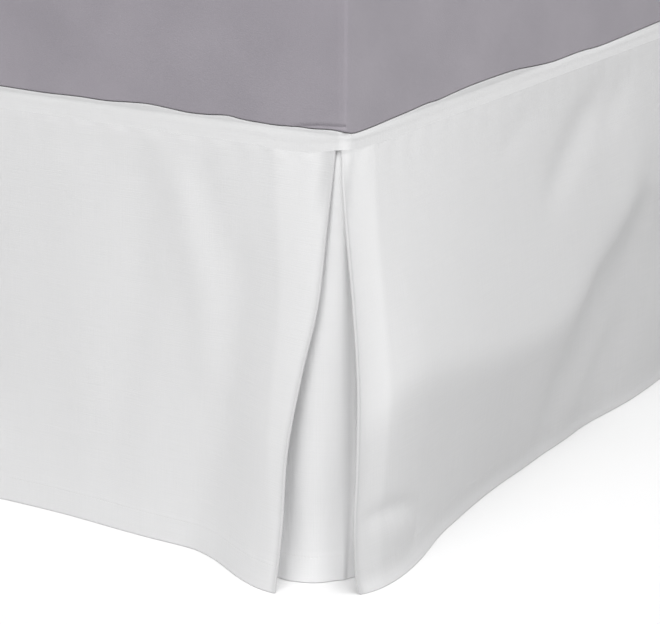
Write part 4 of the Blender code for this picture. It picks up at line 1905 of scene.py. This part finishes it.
@dataclass(frozen=True)
class SoftLight:
    """A soft light, far off or, where it has a distance, a round one near the corner.

    Azimuth 0 is in front of the foot, and 90 beside the right face.
    """

    name: str
    azimuth: float
    elevation: float
    strength: float
    spread: float = 30.0
    distance: float = 0.0
    size: float = 1.4

    def build(self, target: Vector) -> None:
        """Adds the light.

        Args:
            target: The point that it is aimed at.
        """
        azimuth, elevation = math.radians(self.azimuth), math.radians(self.elevation)
        away = Vector((math.sin(azimuth) * math.cos(elevation),
                       -math.cos(azimuth) * math.cos(elevation), math.sin(elevation)))
        near = self.distance > 0
        lamp = bpy.data.lights.new(self.name, "AREA" if near else "SUN")
        lamp.energy = self.strength
        if near:
            lamp.shape, lamp.size = "DISK", self.size
        else:
            lamp.angle = math.radians(self.spread)
        light = bpy.data.objects.new(self.name, lamp)
        light.location = target + away * max(self.distance, 1.0)
        light.rotation_euler = (-away).to_track_quat("-Z", "Y").to_euler()
        light.visible_camera = False
        bpy.context.scene.collection.objects.link(light)


@dataclass
class Studio:
    """The floor, the soft light and the camera."""

    bed: Bed
    lights: tuple[SoftLight, ...]
    floor_size: float = 16.0
    sky: float = 0.41
    aim_height: float = 0.2
    camera_from_corner: tuple[float, float, float] = (0.940, -1.559, 0.791)
    azimuth: float = 31.50
    pitch: float = 16.95
    focal_pixels: float = 2341.0
    image_width: float = 660.0
    sensor: float = 36.0

    def build(self, floor_material: bpy.types.Material) -> None:
        """Makes the floor, the lights and the camera.

        Args:
            floor_material: The floor's finish.
        """
        deselect_all()
        bpy.ops.mesh.primitive_plane_add(size=self.floor_size, location=(0, 0, 0))
        floor = bpy.context.object
        floor.name = "floor"
        floor.data.materials.append(floor_material)
        self.light()
        self.aim_camera()
        bpy.context.scene.view_settings.view_transform = "Standard"

    def light(self) -> None:
        """An even white sky and the soft lights round the corner."""
        world = bpy.data.worlds.new("studio")
        world.use_nodes = True
        background = world.node_tree.nodes["Background"]
        background.inputs["Color"].default_value = (1.0, 1.0, 1.0, 1)
        background.inputs["Strength"].default_value = self.sky
        bpy.context.scene.world = world
        for light in self.lights:
            light.build(self.corner(self.aim_height))

    def corner(self, height: float) -> Vector:
        """The bed's right foot corner at a height."""
        return Vector((self.bed.half_width, self.bed.centre_y - self.bed.half_length, height))

    def aim_camera(self) -> None:
        """A long lens on the bed's right foot corner."""
        lens = bpy.data.cameras.new("camera")
        lens.sensor_width = self.sensor
        lens.lens = self.focal_pixels / self.image_width * self.sensor
        camera = bpy.data.objects.new("camera", lens)
        camera.location = self.corner(0) + Vector(self.camera_from_corner)
        yaw, pitch = math.radians(self.azimuth), math.radians(self.pitch)
        look = Vector((-math.sin(yaw) * math.cos(pitch), math.cos(yaw) * math.cos(pitch),
                       -math.sin(pitch)))
        camera.rotation_euler = look.to_track_quat("-Z", "Y").to_euler()
        bpy.context.scene.collection.objects.link(camera)
        bpy.context.scene.camera = camera


# --------------------------------------------------------------------- the skirt's cut

# The rows of a table hold the fields of its class, in their order
RIGHT_FOOT_FLAP = Flap(
    return_width=0.057, flare=0.0457, flare_reach=0.133,
    edge=table(EdgeRow, (0.00, 0.0120, 0.000), (0.18, 0.0145, 0.010), (0.34, 0.0165, 0.020),
               (0.50, 0.0260, 0.030), (0.67, 0.0330, 0.041), (0.85, 0.0330, 0.050),
               (1.00, 0.0370, 0.055)),
    band=table(Wave, (0.00, 0.057), (1.00, 0.005)))
RIGHT_SIDE_FLAP = Flap(
    return_width=0.0525, flare=0.0278, flare_reach=0.156,
    edge=table(EdgeRow, (0.00, -0.0004, 0.000), (0.07, -0.0080, 0.004), (0.18, -0.0149, 0.012),
               (0.31, -0.0192, 0.020), (0.50, -0.0241, 0.028), (0.68, -0.0301, 0.031),
               (0.82, -0.0318, 0.0302), (0.92, -0.0265, 0.0285), (1.00, -0.0186, 0.027)),
    band=table(Wave, (0.00, 0.046), (0.60, 0.040), (1.00, 0.020)))
LEFT_FOOT_FLAP = Flap(
    return_width=0.055, flare=0.026, flare_reach=0.170,
    edge=table(EdgeRow, (0.00, 0.0120, 0.000), (0.25, 0.0130, 0.010), (0.55, 0.0190, 0.021),
               (0.80, 0.0240, 0.031), (1.00, 0.0235, 0.034)),
    band=table(Wave, (0.00, 0.055), (1.00, 0.020)))
LEFT_SIDE_FLAP = Flap(
    return_width=0.054, flare=0.024, flare_reach=0.220,
    edge=table(EdgeRow, (0.00, -0.0004, 0.000), (0.12, -0.0060, 0.006), (0.40, -0.0080, 0.015),
               (0.70, -0.0120, 0.021), (1.00, -0.0165, 0.030)),
    band=table(Wave, (0.00, 0.054), (1.00, 0.030)))

FOOT_WAVES = table(Wave, (0.00, 0.009), (0.15, 0.011), (0.22, 0.0102), (0.30, 0.0048),
                   (0.42, 0.008), (0.58, 0.015), (0.74, 0.006), (0.93, 0.013), (1.10, 0.006),
                   (1.27, 0.011), (1.524, 0.008))
FOOT_BELLIES = table(BellyRow, (0.00, 0.180, 0.0), (0.30, 0.190, 0.002), (0.70, 0.170, 0.006),
                     (1.10, 0.190, 0.003), (1.40, 0.180, 0.002), (1.524, 0.180, 0.0))
FOOT_FOLDS = (
    Fold(((0.199, 0.355), (0.203, 0.220), (0.222, 0.100), (0.235, 0.030)), 0.024, -0.0027),
    Fold(((0.172, 0.355), (0.152, 0.292), (0.143, 0.255), (0.130, 0.215), (0.124, 0.160)),
         0.017, 0.0021),
    Fold(((0.147, 0.357), (0.122, 0.290), (0.103, 0.255), (0.097, 0.190), (0.098, 0.110)),
         0.020, -0.0016),
    Fold(((0.278, 0.340), (0.270, 0.100)), 0.034, 0.0016),
    Fold(((0.410, 0.330), (0.372, 0.090)), 0.034, -0.0035),
    Fold(((0.640, 0.320), (0.585, 0.080)), 0.040, 0.0040),
    Fold(((0.860, 0.340), (0.905, 0.120)), 0.038, -0.0035),
    Fold(((1.150, 0.330), (1.185, 0.070)), 0.036, 0.0040),
    Fold(((1.360, 0.310), (1.385, 0.110)), 0.026, -0.0030))
RIGHT_WAVES = table(Wave, (0.00, 0.0063), (0.10, 0.0213), (0.25, 0.0083), (0.38, 0.0087),
                    (0.47, 0.0076), (0.56, 0.0112), (0.75, 0.007), (0.98, 0.014), (1.20, 0.007),
                    (1.45, 0.015), (1.70, 0.007), (2.032, 0.010))
RIGHT_BELLIES = table(BellyRow, (0.00, 0.150, 0.000), (0.03, 0.150, 0.009),
                      (0.06, 0.168, 0.019), (0.09, 0.168, 0.025), (0.15, 0.158, 0.026),
                      (0.25, 0.142, 0.026), (0.37, 0.142, 0.025), (0.46, 0.186, 0.025),
                      (0.54, 0.225, 0.024), (0.80, 0.200, 0.012), (1.30, 0.170, 0.010),
                      (2.032, 0.180, 0.004))
RIGHT_FOLDS = (
    Fold(((0.560, 0.222), (0.522, 0.178), (0.448, 0.143), (0.414, 0.101), (0.377, 0.074),
          (0.365, 0.030)), 0.033, -0.0095),
    Fold(((0.650, 0.222), (0.608, 0.178), (0.538, 0.143), (0.504, 0.101), (0.464, 0.074),
          (0.446, 0.030)), 0.062, -0.0072),
    Fold(((0.483, 0.103), (0.409, 0.028)), 0.018, 0.0015),
    Fold(((0.488, 0.354), (0.436, 0.322), (0.394, 0.294), (0.352, 0.264)), 0.022, -0.0050),
    Fold(((0.540, 0.353), (0.502, 0.327), (0.468, 0.302)), 0.016, -0.0026),
    Fold(((0.335, 0.348), (0.300, 0.336), (0.268, 0.322)), 0.013, -0.0016),
    Fold(((0.034, 0.045), (0.064, 0.041)), 0.016, 0.0030),
    Fold(((0.016, 0.066), (0.040, 0.067), (0.062, 0.063), (0.078, 0.054)), 0.008, -0.0030),
    Fold(((0.083, 0.052), (0.084, 0.034), (0.070, 0.016)), 0.008, -0.0014),
    Fold(((0.700, 0.330), (0.640, 0.090)), 0.040, 0.0040),
    Fold(((0.920, 0.320), (0.870, 0.120)), 0.045, -0.0045),
    Fold(((1.180, 0.330), (1.225, 0.080)), 0.045, 0.0045),
    Fold(((1.500, 0.320), (1.440, 0.110)), 0.045, -0.0040),
    Fold(((1.780, 0.330), (1.815, 0.090)), 0.045, 0.0035))
LEFT_WAVES = table(Wave, (0.00, 0.007), (0.22, 0.012), (0.43, 0.005), (0.66, 0.014),
                   (0.90, 0.007), (1.12, 0.013), (1.40, 0.005), (1.66, 0.014), (2.032, 0.008))
LEFT_BELLIES = table(BellyRow, (0.00, 0.150, 0.0), (0.20, 0.150, 0.004), (0.70, 0.180, 0.009),
                     (1.30, 0.150, 0.005), (2.032, 0.170, 0.004))
LEFT_FOLDS = (
    Fold(((0.300, 0.330), (0.250, 0.100)), 0.038, 0.0040),
    Fold(((0.560, 0.330), (0.600, 0.120)), 0.042, -0.0040),
    Fold(((0.850, 0.320), (0.820, 0.080)), 0.045, 0.0045),
    Fold(((1.150, 0.330), (1.205, 0.110)), 0.045, -0.0040),
    Fold(((1.520, 0.330), (1.480, 0.090)), 0.045, 0.0040),
    Fold(((1.800, 0.320), (1.760, 0.120)), 0.045, -0.0035))
SEAM_HEIGHTS = {
    Face.FOOT: table(LineRow, (0.000, 0.3705), (0.012, 0.3690), (0.034, 0.3645),
                     (0.055, 0.3635), (0.085, 0.3650), (0.130, 0.3655), (0.200, 0.3650),
                     (0.295, 0.3660), (1.400, 0.3655), (1.524, 0.3660)),
    Face.RIGHT: table(LineRow, (0.000, 0.3705), (0.030, 0.3680), (0.080, 0.3665),
                      (2.032, 0.3665)),
    Face.LEFT: table(LineRow, (0.000, 0.3660), (0.060, 0.3665), (2.032, 0.3665))}
SEAM_TUCKS = {
    Face.FOOT: table(LineRow, (0.000, 0.00008), (0.030, 0.00015), (0.060, 0.00011),
                     (0.100, 0.00023), (0.146, 0.00053), (0.165, 0.00030), (0.190, 0.00046),
                     (0.205, 0.00034), (0.222, 0.00053), (0.245, 0.00030), (0.262, 0.00046),
                     (0.290, 0.00030), (0.600, 0.00046), (0.900, 0.00030), (1.200, 0.00046),
                     (1.524, 0.00023)),
    Face.RIGHT: table(LineRow, (0.000, 0.00008), (0.600, 0.00011), (1.000, 0.00034),
                      (2.032, 0.00030)),
    Face.LEFT: table(LineRow, (0.000, 0.00011), (0.500, 0.00038), (2.032, 0.00034))}
LIP_TOPS = {
    Face.FOOT: table(LineRow, (0.000, 0.3846), (0.015, 0.3853), (0.032, 0.3842),
                     (0.049, 0.3840), (0.066, 0.3832), (0.084, 0.3835), (0.101, 0.3843),
                     (0.114, 0.3859), (0.137, 0.3842), (0.155, 0.3840), (0.173, 0.3854),
                     (0.195, 0.3868), (0.215, 0.3860), (0.238, 0.3847), (0.267, 0.3852),
                     (0.305, 0.3846), (0.360, 0.3856), (0.450, 0.3868), (0.600, 0.3840),
                     (0.750, 0.3852), (0.950, 0.3868), (1.150, 0.3842), (1.330, 0.3862),
                     (1.460, 0.3840), (1.524, 0.3846)),
    Face.RIGHT: table(LineRow, (0.000, 0.3844), (0.014, 0.3818), (0.045, 0.3817),
                      (0.073, 0.3827), (0.103, 0.3836), (0.133, 0.3848), (0.149, 0.3843),
                      (0.180, 0.3857), (0.213, 0.3868), (0.264, 0.3869), (0.299, 0.3861),
                      (0.335, 0.3834), (0.372, 0.3814), (0.430, 0.3817), (0.470, 0.3802),
                      (0.531, 0.3812), (0.650, 0.3840), (0.800, 0.3865), (0.950, 0.3835),
                      (1.150, 0.3862), (1.400, 0.3832), (1.650, 0.3858), (1.850, 0.3838),
                      (2.032, 0.3842)),
    Face.LEFT: table(LineRow, (0.000, 0.3840), (0.060, 0.3832), (0.210, 0.3862),
                     (0.400, 0.3838), (0.640, 0.3866), (0.880, 0.3836), (1.120, 0.3860),
                     (1.380, 0.3838), (1.620, 0.3864), (1.850, 0.3840), (2.032, 0.3842))}
RIGHT_FOOT_HEM = table(HemRow, (0.00, 0.0010, -0.0003), (0.12, 0.0065, 0.0055),
                       (0.25, 0.0135, 0.0145), (0.38, 0.022, 0.0215), (0.58, 0.034, 0.027),
                       (0.78, 0.046, 0.031), (1.00, 0.061, 0.030))
PLEAT_SHADE_LINE = table(LineRow, (0.00, 0.012), (0.43, 0.022), (0.60, 0.034), (0.80, 0.041),
                         (1.00, 0.051))
RIGHT_SIDE_HEM = table(HemRow, (0.00, 0.0003, -0.0010), (0.16, 0.0048, 0.0004),
                       (0.30, 0.0084, 0.0024), (0.62, 0.0142, 0.0062), (1.00, 0.0190, 0.0105))
LEFT_FOOT_HEM = table(HemRow, (0.00, 0.001, 0.002), (0.35, 0.021, 0.012), (0.70, 0.042, 0.018),
                      (1.00, 0.058, 0.020))
LEFT_SIDE_HEM = table(HemRow, (0.00, -0.002, -0.001), (0.35, 0.014, 0.010),
                      (0.70, 0.028, 0.016), (1.00, 0.041, 0.019))
LIGHTS = (
    SoftLight("front", azimuth=0, elevation=40, strength=0.66),
    SoftLight("overhead", azimuth=30, elevation=65, strength=0.64),
    SoftLight("corner_box", azimuth=60, elevation=62, strength=27.2, distance=2.2))


def cut_drops(bed: Bed, seam: EdgeLine, tuck: EdgeLine) -> dict[Face, Drop]:
    """The three drops of the skirt.

    Args:
        bed: The bed that they hang on.
        seam: The seam's height along the faces.
        tuck: How far the seam is drawn in.

    Returns:
        The drops by face.
    """
    width, length = 2 * bed.half_width, 2 * bed.half_length
    return {
        Face.FOOT: Drop(bed, Face.FOOT, width, (RIGHT_FOOT_FLAP, LEFT_FOOT_FLAP),
                        FOOT_WAVES, FOOT_BELLIES, FOOT_FOLDS, seam, tuck, Ripples(seed=11)),
        Face.RIGHT: Drop(bed, Face.RIGHT, length, (RIGHT_SIDE_FLAP,), RIGHT_WAVES,
                         RIGHT_BELLIES, RIGHT_FOLDS, seam, tuck, Ripples(seed=12),
                         Shade(double=0.64, lower=0.22, far=0.24),
                         hem_finish=HemFinish(flip=0.0022)),
        Face.LEFT: Drop(bed, Face.LEFT, length, (LEFT_SIDE_FLAP,), LEFT_WAVES,
                        LEFT_BELLIES, LEFT_FOLDS, seam, tuck, Ripples(seed=13),
                        Shade(lower=0.12, far=0.12), hem_finish=HemFinish(flip=0.001))}


def cut_underlays(drops: dict[Face, Drop]) -> list[Underlay]:
    """The underlays of the two corner pleats.

    Args:
        drops: The drops in front of them.

    Returns:
        The right underlay and the left one.
    """
    foot, shade = drops[Face.FOOT], PleatShade(PLEAT_SHADE_LINE)
    return [
        Underlay("underlay_right",
                 UnderlayHalf(foot, 1, RIGHT_FOOT_HEM),
                 UnderlayHalf(drops[Face.RIGHT], 1, RIGHT_SIDE_HEM, swell=0.007,
                              swell_at=0.20), shade),
        Underlay("underlay_left",
                 UnderlayHalf(foot, -1, LEFT_FOOT_HEM),
                 UnderlayHalf(drops[Face.LEFT], 1, LEFT_SIDE_HEM), shade)]


def report(piece: bpy.types.Object) -> None:
    """Logs a finished piece and its size."""
    LOG.info("%s: %d faces", piece.name, len(piece.data.polygons))


def main() -> None:
    """Builds the skirt, the bed and the studio, and reports each piece."""
    logging.basicConfig(level=logging.INFO, format="%(name)s: %(message)s")
    deselect_all()
    bed = Bed.from_frame()
    maker = ClothMaker(WhiteCotton().build())
    seam = EdgeLine(bed, SEAM_HEIGHTS, head=bed.seam)
    tuck = EdgeLine(bed, SEAM_TUCKS, head=0.0)
    top = EdgeLine(bed, LIP_TOPS, head=bed.deck_top)
    drops = cut_drops(bed, seam, tuck)
    report(Deck(bed, seam, top, tuck).build(maker))
    for drop in drops.values():
        report(drop.build(maker, rests_on="deck_cloth"))
    for underlay in cut_underlays(drops):
        report(underlay.build(maker, rests_on="deck_cloth"))
    report(Mattress(bed, top).build(GreyTicking().build()))
    for leg in BaseAndLegs().build(BaseCloth().build(), StainedWood().build()):
        report(leg)
    Studio(bed, LIGHTS).build(PaleFloor().build())


if __name__ == "__main__":
    main()
